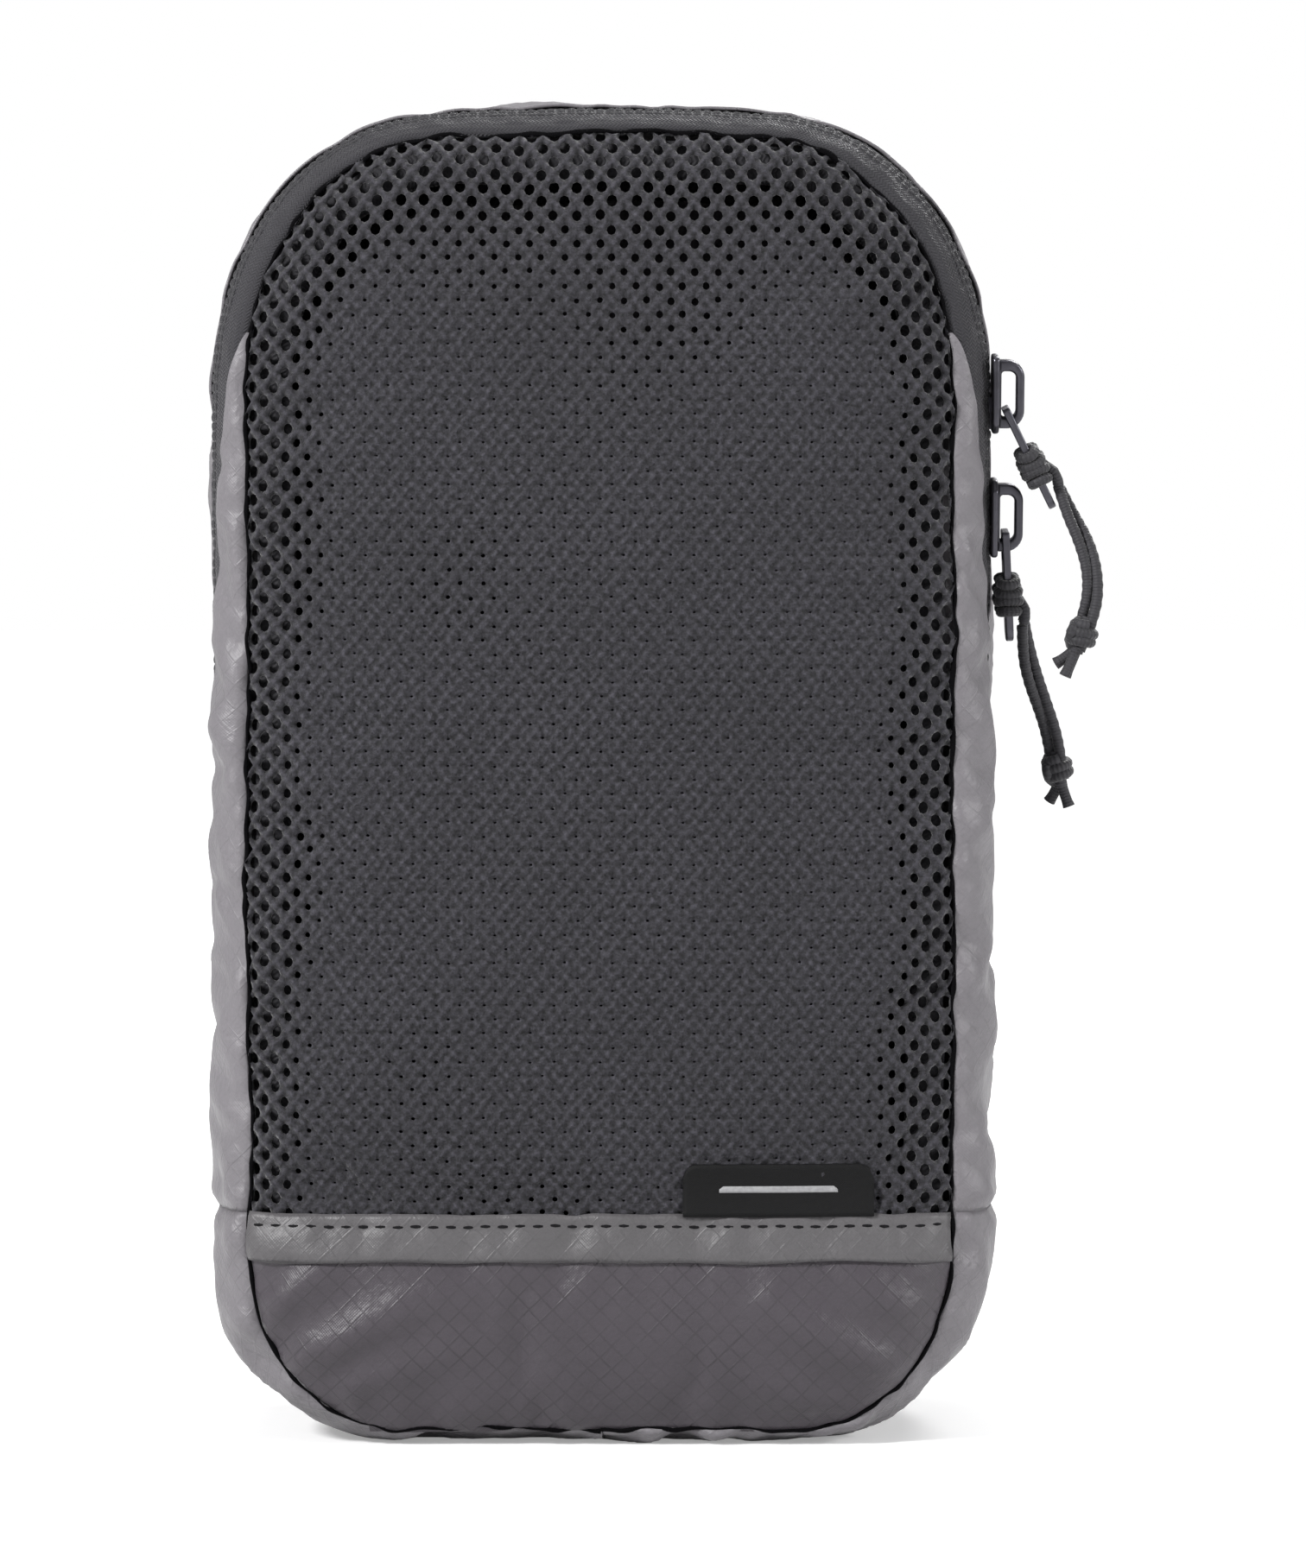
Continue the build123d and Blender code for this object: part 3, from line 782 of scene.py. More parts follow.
def blurred(grid, passes):
    """A grid of vectors averaged over its neighbours a number of times."""
    for _ in range(passes):
        around = np.pad(grid, ((1, 1), (1, 1), (0, 0)), "edge")
        grid = (around[:-2, 1:-1] + around[2:, 1:-1] + around[1:-1, :-2] + around[1:-1, 2:]) / 4
    return grid


def skin_patches():
    """The strips and both panels as coarse grids: name, lines, points, faces, places used and hold."""
    count = int(LENGTHS[-1] / SKIN_SPACING)
    s, w = np.linspace(0, LAST, count), np.linspace(0, STRIP_WIDTH, SKIN_ROWS)
    s2, w2 = flat_grid(s, w)
    points = strip_form(s2, w2)
    points += strip_normal(s2, w2) * (SKIN_UNEVENNESS * ripple(points, 7.0, 30))[:, None]
    zip_gap = np.abs(points[:, 1] - zip_y(points[:, 2]))
    hold = np.where(np.minimum(w2, STRIP_WIDTH - w2) < 0.5, 1.0, 0.0)
    hold = np.maximum(hold, np.where((points[:, 2] > JOIN - 1) & (zip_gap < TAPE_WIDTH), SEWN_HOLD, 0.0))
    hold = np.maximum(hold, np.where(np.abs(points[:, 2] - JOIN) < 2.0, SEWN_HOLD, 0.0))
    yield "strips", s, w, points, grid_faces(count, SKIN_ROWS), np.arange(len(points)), hold
    half = HALF_WIDTH - SIDE_INSET + 1.5
    low, high = 2.0, HEIGHT - 3.0
    for side in (-1, 1):
        x = np.linspace(-half, half, int(2 * half / SKIN_SPACING))
        z = np.linspace(low, high, int((high - low) / SKIN_SPACING))
        z2, x2 = flat_grid(z, x)
        inside, _, nearest = from_seam(x2, z2)
        edge = inside < 0.4 * SKIN_SPACING
        x2 = np.where(edge, 0.9 * nearest[:, 0] + 0.1 * x2, x2)
        z2 = np.where(edge, 0.9 * nearest[:, 1] + 0.1 * z2, z2)
        faces = grid_faces(len(z), len(x))[:, ::-side]
        faces = faces[(inside[faces] > 0).any(1)]
        used, index = np.unique(faces, return_inverse=True)
        at_join = np.abs(z2 - JOIN) < 1.4
        hold = np.where(edge, 1.0, np.where(at_join & (side < 0), SEWN_HOLD, 0.0))
        form, normal, _, _ = panel_form(x2[used], z2[used], side)
        form += normal * (SKIN_UNEVENNESS * ripple(form, 7.0, 31))[:, None]
        yield side, z, x, form, index.reshape(-1, 4), used, hold[used]


def settle_cloth():
    """Blender's cloth on the bare skin: filled from inside, and cut a little larger than its seams."""
    patches = list(skin_patches())
    points, faces, _ = merged([(p, f, 0 * p) for _, _, _, p, f, _, _ in patches])
    mesh = bpy.data.meshes.new("skin")
    mesh.from_pydata((points * MM).tolist(), [], faces)
    skin = add_object("skin", mesh)
    scene = bpy.context.scene
    pins = skin.vertex_groups.new(name="pins")
    for index, weight in enumerate(np.concatenate([patch[-1] for patch in patches])):
        if weight > 0:
            pins.add([index], float(weight), "REPLACE")
    cloth = skin.modifiers.new("cloth", "CLOTH")
    cloth.settings.quality = 6
    cloth.settings.mass = 0.3
    cloth.settings.tension_stiffness = cloth.settings.compression_stiffness = 12.0
    cloth.settings.shear_stiffness = 6.0
    cloth.settings.bending_stiffness = 0.01
    cloth.settings.shrink_min = -0.035
    cloth.settings.vertex_group_mass = "pins"
    cloth.settings.use_pressure = True
    cloth.settings.uniform_pressure_force = 220.0
    cloth.settings.effector_weights.gravity = 0.0
    cloth.collision_settings.use_collision = False
    cloth.point_cache.frame_end = SETTLE_FRAMES
    for frame_number in range(1, SETTLE_FRAMES + 1):
        scene.frame_set(frame_number)
    shaped = skin.evaluated_get(bpy.context.evaluated_depsgraph_get())
    moved = np.array([vertex.co for vertex in shaped.data.vertices]) / MM - points
    scene.frame_set(1)
    bpy.data.objects.remove(skin)
    first = 0
    for name, u_lines, v_lines, patch_points, _, used, hold in patches:
        shape = (len(u_lines), len(v_lines))
        shift, free = np.zeros((shape[0] * shape[1], 3)), np.zeros((shape[0] * shape[1], 1))
        shift[used] = moved[first:first + len(patch_points)]
        free[used, 0] = hold == 0
        shift, free = shift.reshape(*shape, 3), free.reshape(*shape, 1)
        shift -= (1 - SWELLING_LEFT) * blurred(shift, 24) * free * blurred(free, 8) ** 2
        reach = np.linalg.norm(shift, axis=2, keepdims=True)
        shift *= MOST_SHIFT[name] * np.tanh(reach / MOST_SHIFT[name]) / np.maximum(reach, 1e-6)
        settled[name] = (u_lines, v_lines, shift)
        first += len(patch_points)


settle_cloth()

make_strips()
make_zip()


# ---- panels -----------------------------------------------------------------------------
def panel_sheet(side, low, high, spacing):
    """A grid over a panel between two heights, cut off along the seam line."""
    half = HALF_WIDTH - SIDE_INSET + 1.5
    x = np.linspace(-half, half, int(2 * half / spacing) + 1)
    z = np.linspace(low, high, int((high - low) / spacing) + 1)
    z2, x2 = flat_grid(z, x)
    inside, _, nearest = from_seam(x2, z2)
    outer = inside < 0
    ends = (z2 <= low) | (z2 >= high)
    x2 = np.where(outer, nearest[:, 0], x2)
    z2 = np.where(outer & ~ends, nearest[:, 1], z2)
    faces = grid_faces(len(z), len(x))
    faces = faces[(~outer[faces]).any(1)][:, ::-side]
    used, index = np.unique(faces, return_inverse=True)
    points = panel(x2[used], z2[used], side)
    cloth = xyz(x2[used], z2[used], 0.0)
    return points, index.reshape(-1, 4), cloth


def hem_lift(x, z):
    """How far the hem's outer face stands off the panel: a folded band, dented along its stitching."""
    t = (JOIN - z) / HEM_HEIGHT
    band = 0.4 * (1 - np.clip(np.abs(2 * t - 1), 0, 1) ** 8)
    fold = band - 0.25 * bump(t - HEM_STITCH_DOWN / HEM_HEIGHT, 0.1)
    gathers = 0.22 * ripple(xyz(x, 0.2 * z, 8.0), 2.8, 14)
    return fold + gathers * np.sin(math.pi * np.clip(t, 0, 1))


def on_hem(line):
    """Points of a line of (x, z) that lies on the hem."""
    return panel(line[:, 0], line[:, 1], -1, STITCH_RISE + hem_lift(line[:, 0], line[:, 1]))


def hem_stitches(start, end):
    """The straight row of stitches that holds the hem, a little uneven."""
    start, end = np.array(start, float), np.array(end, float)
    length = np.linalg.norm(end - start)
    at = np.linspace(0, 1, int(length / STITCH_PITCH), endpoint=False)
    wobble = 0.12 * ripple(xyz(at * length, 0.0, 5.0), 2.0, 11)
    places = start + (end - start) * at[:, None] + np.stack([0 * at, wobble], 1)
    stops = places + (end - start) / length * STITCH_PITCH * 0.72
    starts, ends = on_hem(places), on_hem(stops)
    normals = unit(np.cross(np.array([0.0, 0.0, 1.0]), ends - starts))
    normals = np.where((normals[:, 1] > 0)[:, None], -normals, normals)
    make_piece("base_hem_stitches", *stitch_shapes(starts, ends, normals, 0.5, 0.16), TOP_THREAD, "main",
               "ripstop_light")


def outline_span(first, last, spacing):
    count = int(abs(length_at(last) - length_at(first)) / spacing) + 2
    return np.linspace(first, last, count)


def seam_line(name, s, side, radius, body):
    """The seam's thread as a fine uneven black cord lying in the groove between panel and strips; its black
    is also painted shadow of the groove.
    """
    place = on_outline(SEAM, s)
    depth = SEAM_Y + seam_height(s, side) + 0.1
    length = length_at(s)
    rough = 1 + 0.45 * ripple(xyz(length, float(side), 0.0), 3.2, 12)
    wander = 0.35 * ripple(xyz(length, 5.0 * side, 0.0), 4.6, 20)
    place = place + on_outline(SEAM_NORMALS, s) * wander[:, None]
    points = xyz(place[:, 0], side * depth, place[:, 1])
    make_piece(name, *tube(points, radius * rough, 7, up=(0, 1, 0)), SEAM_THREAD_AND_SHADOW, body, "binding")


def make_base():
    """Lower front panel, its folded hem and their stitching."""
    panel_cloth = panel_sheet(-1, 2.0, JOIN - 0.3, 1.15)
    base = make_piece("base_panel_cloth", *panel_cloth, PANEL_CLOTH, "main", "ripstop", ["base_panel"])
    give_thickness(base, CLOTH)
    half = HALF_WIDTH - SIDE_INSET
    rows, columns = 11, 96
    t = np.linspace(0, 1, rows)
    x = np.linspace(-half, half, columns)
    x2, t2 = flat_grid(x, t, "xy")
    edge = 0.25 * ripple(xyz(x2, 0.0, 3.0), 11.0, 13)
    z2 = JOIN + 0.1 - HEM_HEIGHT * t2 + edge
    inside, _, nearest = from_seam(x2, z2)
    x2 = np.where(inside < 0.2, nearest[:, 0] - np.sign(nearest[:, 0]) * 0.2, x2)
    points = panel(x2, z2, -1, hem_lift(x2, z2))
    cloth = xyz(x2 + 400.0, z2, 0.0)
    hem = make_piece("base_hem_cloth", points, grid_faces(rows, columns), cloth, HEM_CLOTH, "main",
                     "ripstop_light")
    give_thickness(hem, 0.5)
    level = JOIN - HEM_STITCH_DOWN
    hem_stitches((-half + 1, level), (half - 1, level))
    seam_line("base_seam_thread_and_shadow", outline_span(JOIN_LEFT, LAST, 0.6), -1, FRONT_THREAD_AND_SHADOW, "main")
    seam_line("base_seam_thread_and_shadow_right", outline_span(0, JOIN_RIGHT, 0.6), -1, FRONT_THREAD_AND_SHADOW, "main")


def make_back():
    """The rear panel and its seam."""
    back = make_piece("back_panel_cloth", *panel_sheet(1, 1.5, HEIGHT - 3.0, 1.7), PANEL_CLOTH, "main",
                      "ripstop", ["back_panel"])
    seam_line("rear_seam_thread_and_shadow", outline_span(0, LAST, 0.7), 1, REAR_THREAD_AND_SHADOW, "main")
    give_thickness(back, CLOTH)


# Each hole's tile is a diamond of eight boundary points, in quarter pitches from its centre.
TILE = [(2, 0), (1, 1), (0, 2), (-1, 1), (-2, 0), (-1, -1), (0, -2), (1, -1)]
OPEN_HOLE = (0.84, 0.98)                         # half width and half height where the mesh hangs free
CLOSE_HOLE = (0.24, 0.17)                        # where it is pressed against what is packed


def hole_size(x, z, inside):
    """How open the mesh is: wide open along its edges and over the top, nearly closed in the middle."""
    middle = np.clip((inside - 3.0) / 11.0, 0, 1)
    place = xyz(x, 0.0, z)
    over_top = np.clip((z - 168.0 + 0.12 * np.abs(x + 8)) / 20.0, 0, 1)
    patch = 0.35 * ripple(place, 24.0, 15)
    open_share = np.clip(1 - middle + 0.75 * over_top + patch * middle, 0, 1)
    return open_share * open_share * (3 - 2 * open_share)


def mesh_window():
    """The knitted mesh: one tile for each hole, with rounded yarn round a real hole and a closed border."""
    a, b = MESH_PITCH[0] / 4, MESH_PITCH[1] / 4
    foot, crown = JOIN - 1.2, HEIGHT
    centres = [(p, q) for q in range(int(foot / b) - 2, int(crown / b) + 4, 2)
               for p in range(-64, 65, 2) if (p - q) % 4 == 0]
    centres = np.array([c for c in centres if c[1] * b > foot])
    inside, _, _ = from_seam(centres[:, 0] * a, centres[:, 1] * b)
    centres, inside = centres[inside > -0.6], inside[inside > -0.6]
    keys, corners = {}, []
    for p, q in centres:
        corners.append([keys.setdefault((p + dp, q + dq), len(keys)) for dp, dq in TILE])
    corners = np.array(corners)
    edge = np.array(list(keys)) * (a, b)
    centre = centres * (a, b)
    opening = hole_size(centre[:, 0], centre[:, 1], inside)
    half = np.array(CLOSE_HOLE) + np.subtract(OPEN_HOLE, CLOSE_HOLE) * opening[:, None]
    jitter = 0.16 * np.stack([ripple(xyz(centre[:, 0], 0.0, centre[:, 1]), 1.9, seed)
                              for seed in (16, 17)], 1)
    angle = np.arange(8) * math.pi / 4
    ring = np.stack([np.cos(angle), np.sin(angle)], 1)
    rim = centre[:, None] + jitter[:, None] + ring[None] * half[:, None]
    between = edge[corners] * 0.42 + rim * 0.58
    flat = np.concatenate([edge, between.reshape(-1, 2), rim.reshape(-1, 2)])
    gap, _, nearest = from_seam(flat[:, 0], flat[:, 1])
    flat = np.where((gap < 0.15)[:, None], nearest, flat)
    flat[:, 1] = np.maximum(flat[:, 1], foot)
    n_edge, n_ring = len(edge), len(centre) * 8
    crossing = np.array(list(keys))[:, 0] % 2 == 0
    rise = np.concatenate([np.where(crossing, 0.42, 0.04), np.full(n_ring, 0.12), np.full(n_ring, -0.2)])
    front = panel(flat[:, 0], flat[:, 1], -1, rise + 0.1)
    behind = np.r_[0:n_edge, n_edge + n_ring:len(flat)]
    back = panel(flat[:, 0], flat[:, 1], -1, np.full(len(flat), -0.42))[behind]
    inner = n_edge + np.arange(len(centre))[:, None] * 8 + np.arange(8)[None]
    hole = inner + n_ring
    back_edge, back_hole = corners + len(flat), hole - n_ring + len(flat)
    loops = (corners, inner, hole, back_hole, back_edge)
    faces = [np.stack([a, np.roll(a, -1, 1), np.roll(b, -1, 1), b], -1) for a, b in zip(loops, loops[1:])]
    sides = {(int(start), int(end)) for row in corners for start, end in zip(row, np.roll(row, -1))}
    border = sorted((end, start) for start, end in sides if (end, start) not in sides)
    faces.append(np.array([(end, start, start + len(flat), end + len(flat)) for end, start in border]))
    faces = np.concatenate([f.reshape(-1, 4) for f in faces])
    cloth = np.concatenate([flat, flat[behind]])
    make_piece("mesh_window_knit", np.concatenate([front, back]), faces, xyz(cloth[:, 0], cloth[:, 1], 0.0),
               MESH_YARN, "fold", "mesh", ["mesh_window"])


def make_bindings():
    """Folded woven tape over the raw edges inside the seams."""
    section = [(0.9, -0.55), (6.3, -0.62), (6.8, 0.0), (6.3, 0.62), (0.9, 0.55)]
    spans = {"rear_seam_binding": (1, [(0, LAST)], "main"),
             "lid_seam_binding": (-1, [(JOIN_RIGHT, JOIN_LEFT)], "fold"),
             "base_seam_binding": (-1, [(0, JOIN_RIGHT), (JOIN_LEFT, LAST)], "main")}
    for node, (side, stretches, body) in spans.items():
        parts = []
        for first, last in stretches:
            s = outline_span(first, last, 1.6)
            line, normal = on_outline(SEAM, s), on_outline(SEAM_NORMALS, s)
            sag = 0.5 * ripple(xyz(s, 0.0, 0.0), 16.0, 18)
            rows = []
            for inset, off in section:
                place = line - normal * (inset + CLOTH)
                depth = side * (SEAM_Y - 1.5 - sag * inset / 6 + off)
                rows.append(xyz(place[:, 0], depth, place[:, 1]))
            points = np.stack(rows, 1).reshape(-1, 3)
            run = length_at(s)
            cloth = xyz(run[:, None], np.array([inset for inset, _ in section]), 0.0)
            parts.append((points, grid_faces(len(s), len(section), False, True), cloth.reshape(-1, 3)))
        make_piece(node + "_tape", *merged(parts), BINDING_WEAVE, body, "binding", [node])


def panel_area(low, high):
    """Area of the front outline between two heights, in square millimetres."""
    x, z = half_outline(1.0)
    levels = np.linspace(low, high, 400)
    order = np.argsort(z[SEGMENT_POINTS[0]:], kind="stable") + SEGMENT_POINTS[0]
    return 2 * float(np.interp(levels, z[order], x[order]).mean()) * (high - low)


GUSSET_SHARE = 0.55                              # of its rectangle, as it tapers to a point


def declare_sheets(withs):
    """Works out how each piece of cloth was cut: across, along and its flat area, without seam allowances.
    The figures are not passed on.
    """
    strip_run = LENGTHS[JOIN_LEFT] - LENGTHS[JOIN_RIGHT]
    side_run = ZIP_LEVEL_Z - JOIN
    gusset_width = float(across_at(zip_y(JOIN) - TAPE_WIDTH - CHAIN_GAP))
    gusset = (gusset_width, side_run, GUSSET_SHARE * gusset_width * side_run)
    panel_width = 2 * (HALF_WIDTH - SIDE_INSET)
    seam_top, seam_foot = HEIGHT - TOP_INSET, FOOT_INSET
    cuts = {
        "back_panel_cloth": (panel_width, seam_top - seam_foot, panel_area(seam_foot, seam_top)),
        "base_panel_cloth": (panel_width, JOIN - seam_foot, panel_area(seam_foot, JOIN)),
        "mesh_window_knit": (panel_width, seam_top - JOIN, panel_area(JOIN, seam_top)),
        "rear_boxing_cloth": (STRIP_WIDTH - float(across_at(ZIP_TOP_Y + TAPE_WIDTH)), strip_run, None),
        "bottom_boxing_cloth": (STRIP_WIDTH, LENGTHS[-1] - strip_run, None),
        "front_gusset_cloth_right": gusset,
        "front_gusset_cloth_left": gusset,
    }
    for name, (width, length, area) in cuts.items():
        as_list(withs.get(name, ()))


LABEL_DROP = 0.9                                 # the soft label hangs this much below the CAD's
LABEL_CORNER = 2.2
BAR_SHARE, BAR_HALF_HEIGHT = 0.62, 0.5           # the bar's length as a share of the label's


def make_label():
    """A soft label sewn into the foot of the mesh, with a plain woven bar on it."""
    low, high = cad_box("label_patch")
    centre_x, half = (low[0] + high[0]) / 2, (high[0] - low[0]) / 2
    foot, top = low[2] - LABEL_DROP, high[2] - LABEL_DROP

    def terms(x, z):
        return np.stack([np.ones_like(x), x, z, x * x, x * z, z * z], 1)

    under_x, under_z = flat_grid(np.linspace(-half, half, 16), np.linspace(foot, top, 6), "xy")
    under = panel(under_x + centre_x, under_z, -1)[:, 1]
    shape = np.linalg.lstsq(terms(under_x, under_z), under, rcond=None)[0]
    proud = (terms(under_x, under_z) @ shape - under).max()

    def patch(half_x, foot_z, top_z, corner, lift, columns, rows):
        x = np.linspace(-half_x, half_x, columns)
        t = np.linspace(0, 1, rows)
        x2, t2 = flat_grid(x, t, "xy")
        past = np.maximum(np.abs(x2) - (half_x - corner), 0)
        ceiling = top_z - (corner - np.sqrt(np.maximum(corner ** 2 - past ** 2, 0)))
        z2 = foot_z + (ceiling - foot_z) * t2
        wave = 0.15 * ripple(xyz(x2, 0.0, z2), 9.0, 19)
        depth = terms(x2, z2) @ shape - proud - lift - wave
        return xyz(x2 + centre_x, depth, z2), grid_faces(rows, columns), xyz(x2, z2, 0.0)

    cloth = patch(half, foot, top, LABEL_CORNER, 0.6, 40, 12)
    label = make_piece("label_cloth", *cloth, LABEL_SATIN, "fold", "label", ["label_patch"])
    give_thickness(label, 0.45)
    middle = (foot + top) / 2 + 0.2
    thread = patch(half * BAR_SHARE, middle - BAR_HALF_HEIGHT, middle + BAR_HALF_HEIGHT, 0.5, 0.72, 30, 4)
    bar = make_piece("label_bar", *thread, LABEL_BAR, "fold", "label")
    give_thickness(bar, 0.15)


# ---- zip hardware -----------------------------------------------------------------------
TILT = math.atan(-ZIP_TOP_Y / (ZIP_LEVEL_Z - JOIN))
ACROSS = np.array([0.0, math.cos(TILT), math.sin(TILT)])
ALONG = np.array([0.0, -math.sin(TILT), math.cos(TILT)])
OUT = np.array([1.0, 0.0, 0.0])


def box_outline(half, first, last):
    """Corners of an upright rectangle: its half width, and the levels of its first and last sides."""
    return [(-half, first), (half, first), (half, last), (-half, last)]


def rounded(corners, radius, steps=6):
    """A closed outline with each corner rounded by its own radius."""
    points = []
    count = len(corners)
    for i, corner in enumerate(corners):
        corner = np.array(corner, float)
        before, after = np.array(corners[i - 1], float), np.array(corners[(i + 1) % count], float)
        r = radius if np.isscalar(radius) else radius[i]
        to_before, to_after = unit(before - corner), unit(after - corner)
        half = math.acos(np.clip(to_before @ to_after, -1, 1)) / 2
        reach = r / math.tan(half)
        start, end = corner + to_before * reach, corner + to_after * reach
        centre = corner + unit(to_before + to_after) * (r / math.sin(half))
        sweep = np.linspace(0, 1, steps + 1)[:, None]
        points.append(centre + unit((start - centre) * (1 - sweep) + (end - centre) * sweep) * r)
    return np.concatenate(points)


def curve_mesh(curve):
    """Points and faces of a curve, which is then removed."""
    mesh = bpy.data.meshes.new_from_object(bpy.data.objects.new("curve", curve))
    points = np.array([vertex.co for vertex in mesh.vertices])
    faces = [tuple(face.vertices) for face in mesh.polygons]
    bpy.data.meshes.remove(mesh)
    bpy.data.curves.remove(curve)
    return points, faces


def plate(outlines, thickness, edge, origin, x_axis, y_axis):
    """A flat shape with holes and rounded edges, standing half its thickness each side of the origin."""
    curve = bpy.data.curves.new("plate", "CURVE")
    curve.dimensions = "2D"
    curve.fill_mode = "BOTH"
    curve.extrude = thickness / 2 - edge
    curve.bevel_depth = edge
    curve.bevel_resolution = 3
    curve.offset = -edge
    for outline in outlines:
        spline = curve.splines.new("POLY")
        spline.points.add(len(outline) - 1)
        for spot, (x, y) in zip(spline.points, outline):
            spot.co = (x, y, 0, 1)
        spline.use_cyclic_u = True
    local, faces = curve_mesh(curve)
    x_axis, y_axis = np.asarray(x_axis), np.asarray(y_axis)
    points = origin + local[:, :1] * x_axis + local[:, 1:2] * y_axis + local[:, 2:] * np.cross(x_axis, y_axis)
    return points, faces, local


def make_metal(name, parts, body, replaces):
    """A piece of the hardware, its flat faces split from its rounded edges."""
    piece = make_piece(name, *merged(parts), METAL, None, "zip_metal", replaces)
    weld(piece, 0.01)
    smooth = piece.modifiers.new("edges", "EDGE_SPLIT")
    smooth.split_angle = math.radians(50)
    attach(piece, body)
    return piece


SLIDER_LENGTH, NOSE_HALF, HEEL_HALF = 12.0, 3.7, 3.0
PLATE = 1.1                                      # thickness of one plate
ZIP_THICKNESS = 2.6                              # of the tape and coil between the plates
ZIP_CLEAR = 0.25                                 # from them to each plate
CROWN_LENGTH, CROWN_TOP, CROWN_WIDTH = 10.6, 5.3, 2.4
CROWN_BAR, CROWN_LEG = 1.3, 1.75                 # thickness of its top and of its two ends
PULLER_LENGTH, PULLER_WIDTH, PULLER_THICKNESS = 16.8, 5.0, 1.2
EYE_HALF, EYE_FOOT = 1.65, -4.2                  # the hole round the slider's loop
SLOT_HALF, SLOT_TOP, SLOT_FOOT = 1.4, -7.0, -12.6


def make_slider(name, height, nose):
    """Two plates joined by the web, and the chunky loop that stands on the outer one."""
    origin = np.array([HALF_WIDTH, float(zip_y(height)), height])
    half = SLIDER_LENGTH / 2
    right = [(HEEL_HALF, -half), (NOSE_HALF, half / 4), (NOSE_HALF, 0.75 * half), (0.55 * NOSE_HALF, half)]
    shape = [(x, nose * y) for x, y in right] + [(-x, nose * y) for x, y in reversed(right)]
    outline = rounded(shape, 0.8)
    rise, sink = ZIP_CLEAR + PLATE / 2, -(ZIP_THICKNESS + ZIP_CLEAR + PLATE / 2)
    parts = [plate([outline], PLATE, 0.42, origin + OUT * rise, ACROSS, ALONG),
             plate([outline], PLATE, 0.3, origin + OUT * sink, ACROSS, ALONG)]
    web = rounded(box_outline(0.25, -2.5, 2.5), 0.1, 3)
    parts.append(plate([web], 3.4, 0.02, origin + ALONG * (nose * 3.0) + OUT * -1.3, ACROSS, ALONG))
    make_metal("slider_plates_" + name, parts, "slider_" + name, ["slider_body_" + name])
    foot, crown_half = ZIP_CLEAR + PLATE - 0.15, CROWN_LENGTH / 2
    arch = rounded(box_outline(crown_half, foot, CROWN_TOP), [0.5, 0.5, 2.7, 2.7], 8)
    window = rounded(box_outline(crown_half - CROWN_LEG, foot + 0.55, CROWN_TOP - CROWN_BAR),
                     [0.5, 0.5, 1.1, 1.1], 8)
    loop = [plate([arch, window], CROWN_WIDTH, 0.5, origin, ALONG, OUT)]
    make_metal("slider_loop_" + name, loop, "slider_" + name, ["slider_crown_" + name])


def puller_axes(angle):
    """The puller's own axes: across it, up it and off its outer face."""
    turn = math.radians(angle)
    facing = OUT * math.cos(turn) + ALONG * math.sin(turn)
    return ACROSS, np.cross(facing, ACROSS), facing


def make_puller(name, angle):
    """A slim flat tab with an eye round the loop and a slot for the cord."""
    origin = np.array(joint_spot(f"puller_{name}_swing")) / MM
    across, up, facing = puller_axes(angle)
    half = PULLER_THICKNESS / 2
    blank = rounded(box_outline(PULLER_WIDTH / 2, half, -PULLER_LENGTH), [0.6, 0.6, 2.2, 2.2])
    eye = rounded(box_outline(EYE_HALF, EYE_FOOT, -half), 0.5)
    slot = rounded(box_outline(SLOT_HALF, SLOT_FOOT, SLOT_TOP), 1.2)
    tab = [plate([blank, eye, slot], PULLER_THICKNESS, 0.26, origin, across, up)]
    make_metal("puller_tab_" + name, tab, "puller_" + name, ["puller_" + name])
    return origin, across, up, facing


# ---- cords ------------------------------------------------------------------------------
STRAND = 0.86                                    # radius of one braided strand, in millimetres

# Each cord's route as steps from its swing axis, across, to the rear and up; the last two
# points are inside its knot and at the end of its first tail.
ROUTES = {
    "upper": [(0, 0, 0), (1.5, -1.3, -4.0), (3.5, -3.1, -8.1), (4.8, -4.4, -12.6), (4.9, -5.1, -17.0),
              (3.9, -5.3, -20.8), (2.4, -5.2, -25.2), (0.6, -5.6, -29.2)],
    "lower": [(0, 0, 0), (0.5, 0.9, -4.2), (1.6, 2.0, -8.4), (3.1, 3.3, -12.4), (4.5, 4.5, -16.3),
              (5.3, 5.3, -19.9), (6.1, 5.9, -24.6), (7.6, 6.0, -28.6)],
}


def smooth_route(start, route):
    """The cord's line: points read from a NURBS spline through its route."""
    curve = bpy.data.curves.new("route", "CURVE")
    curve.dimensions = "3D"
    curve.resolution_u = 16
    spline = curve.splines.new("NURBS")
    spline.points.add(len(route) - 1)
    for spot, step in zip(spline.points, route):
        spot.co = (*(start + np.array(step, float)), 1.0)
    spline.order_u = 3
    spline.use_endpoint_u = True
    return curve_mesh(curve)[0]


def along_line(line):
    """Distance along a line, and its axes at each point: ahead, to the side and up."""
    ahead = unit(np.gradient(line, axis=0))
    side = unit(np.cross(ahead, np.array([1.0, 0.25, 0.0])))
    return run_along(line), ahead, side, np.cross(ahead, side)


def strands(line, run, side, up, knot_at):
    """Two braided strands lying side by side down to the knot, slowly twisting."""
    parts = []
    used = run < knot_at + 5.0
    twist = 0.5 + 1.9 * run[used] / knot_at
    spread = STRAND * (0.98 + 0.12 * np.sin(run[used] / 3.1))
    for sign in (-1.0, 1.0):
        towards = side[used] * np.cos(twist)[:, None] + up[used] * np.sin(twist)[:, None]
        offset = sign * spread[:, None] * towards
        parts.append(tube(line[used] + offset, STRAND * (1 + 0.05 * np.sin(run[used] * 4.2)), 12))
    return parts


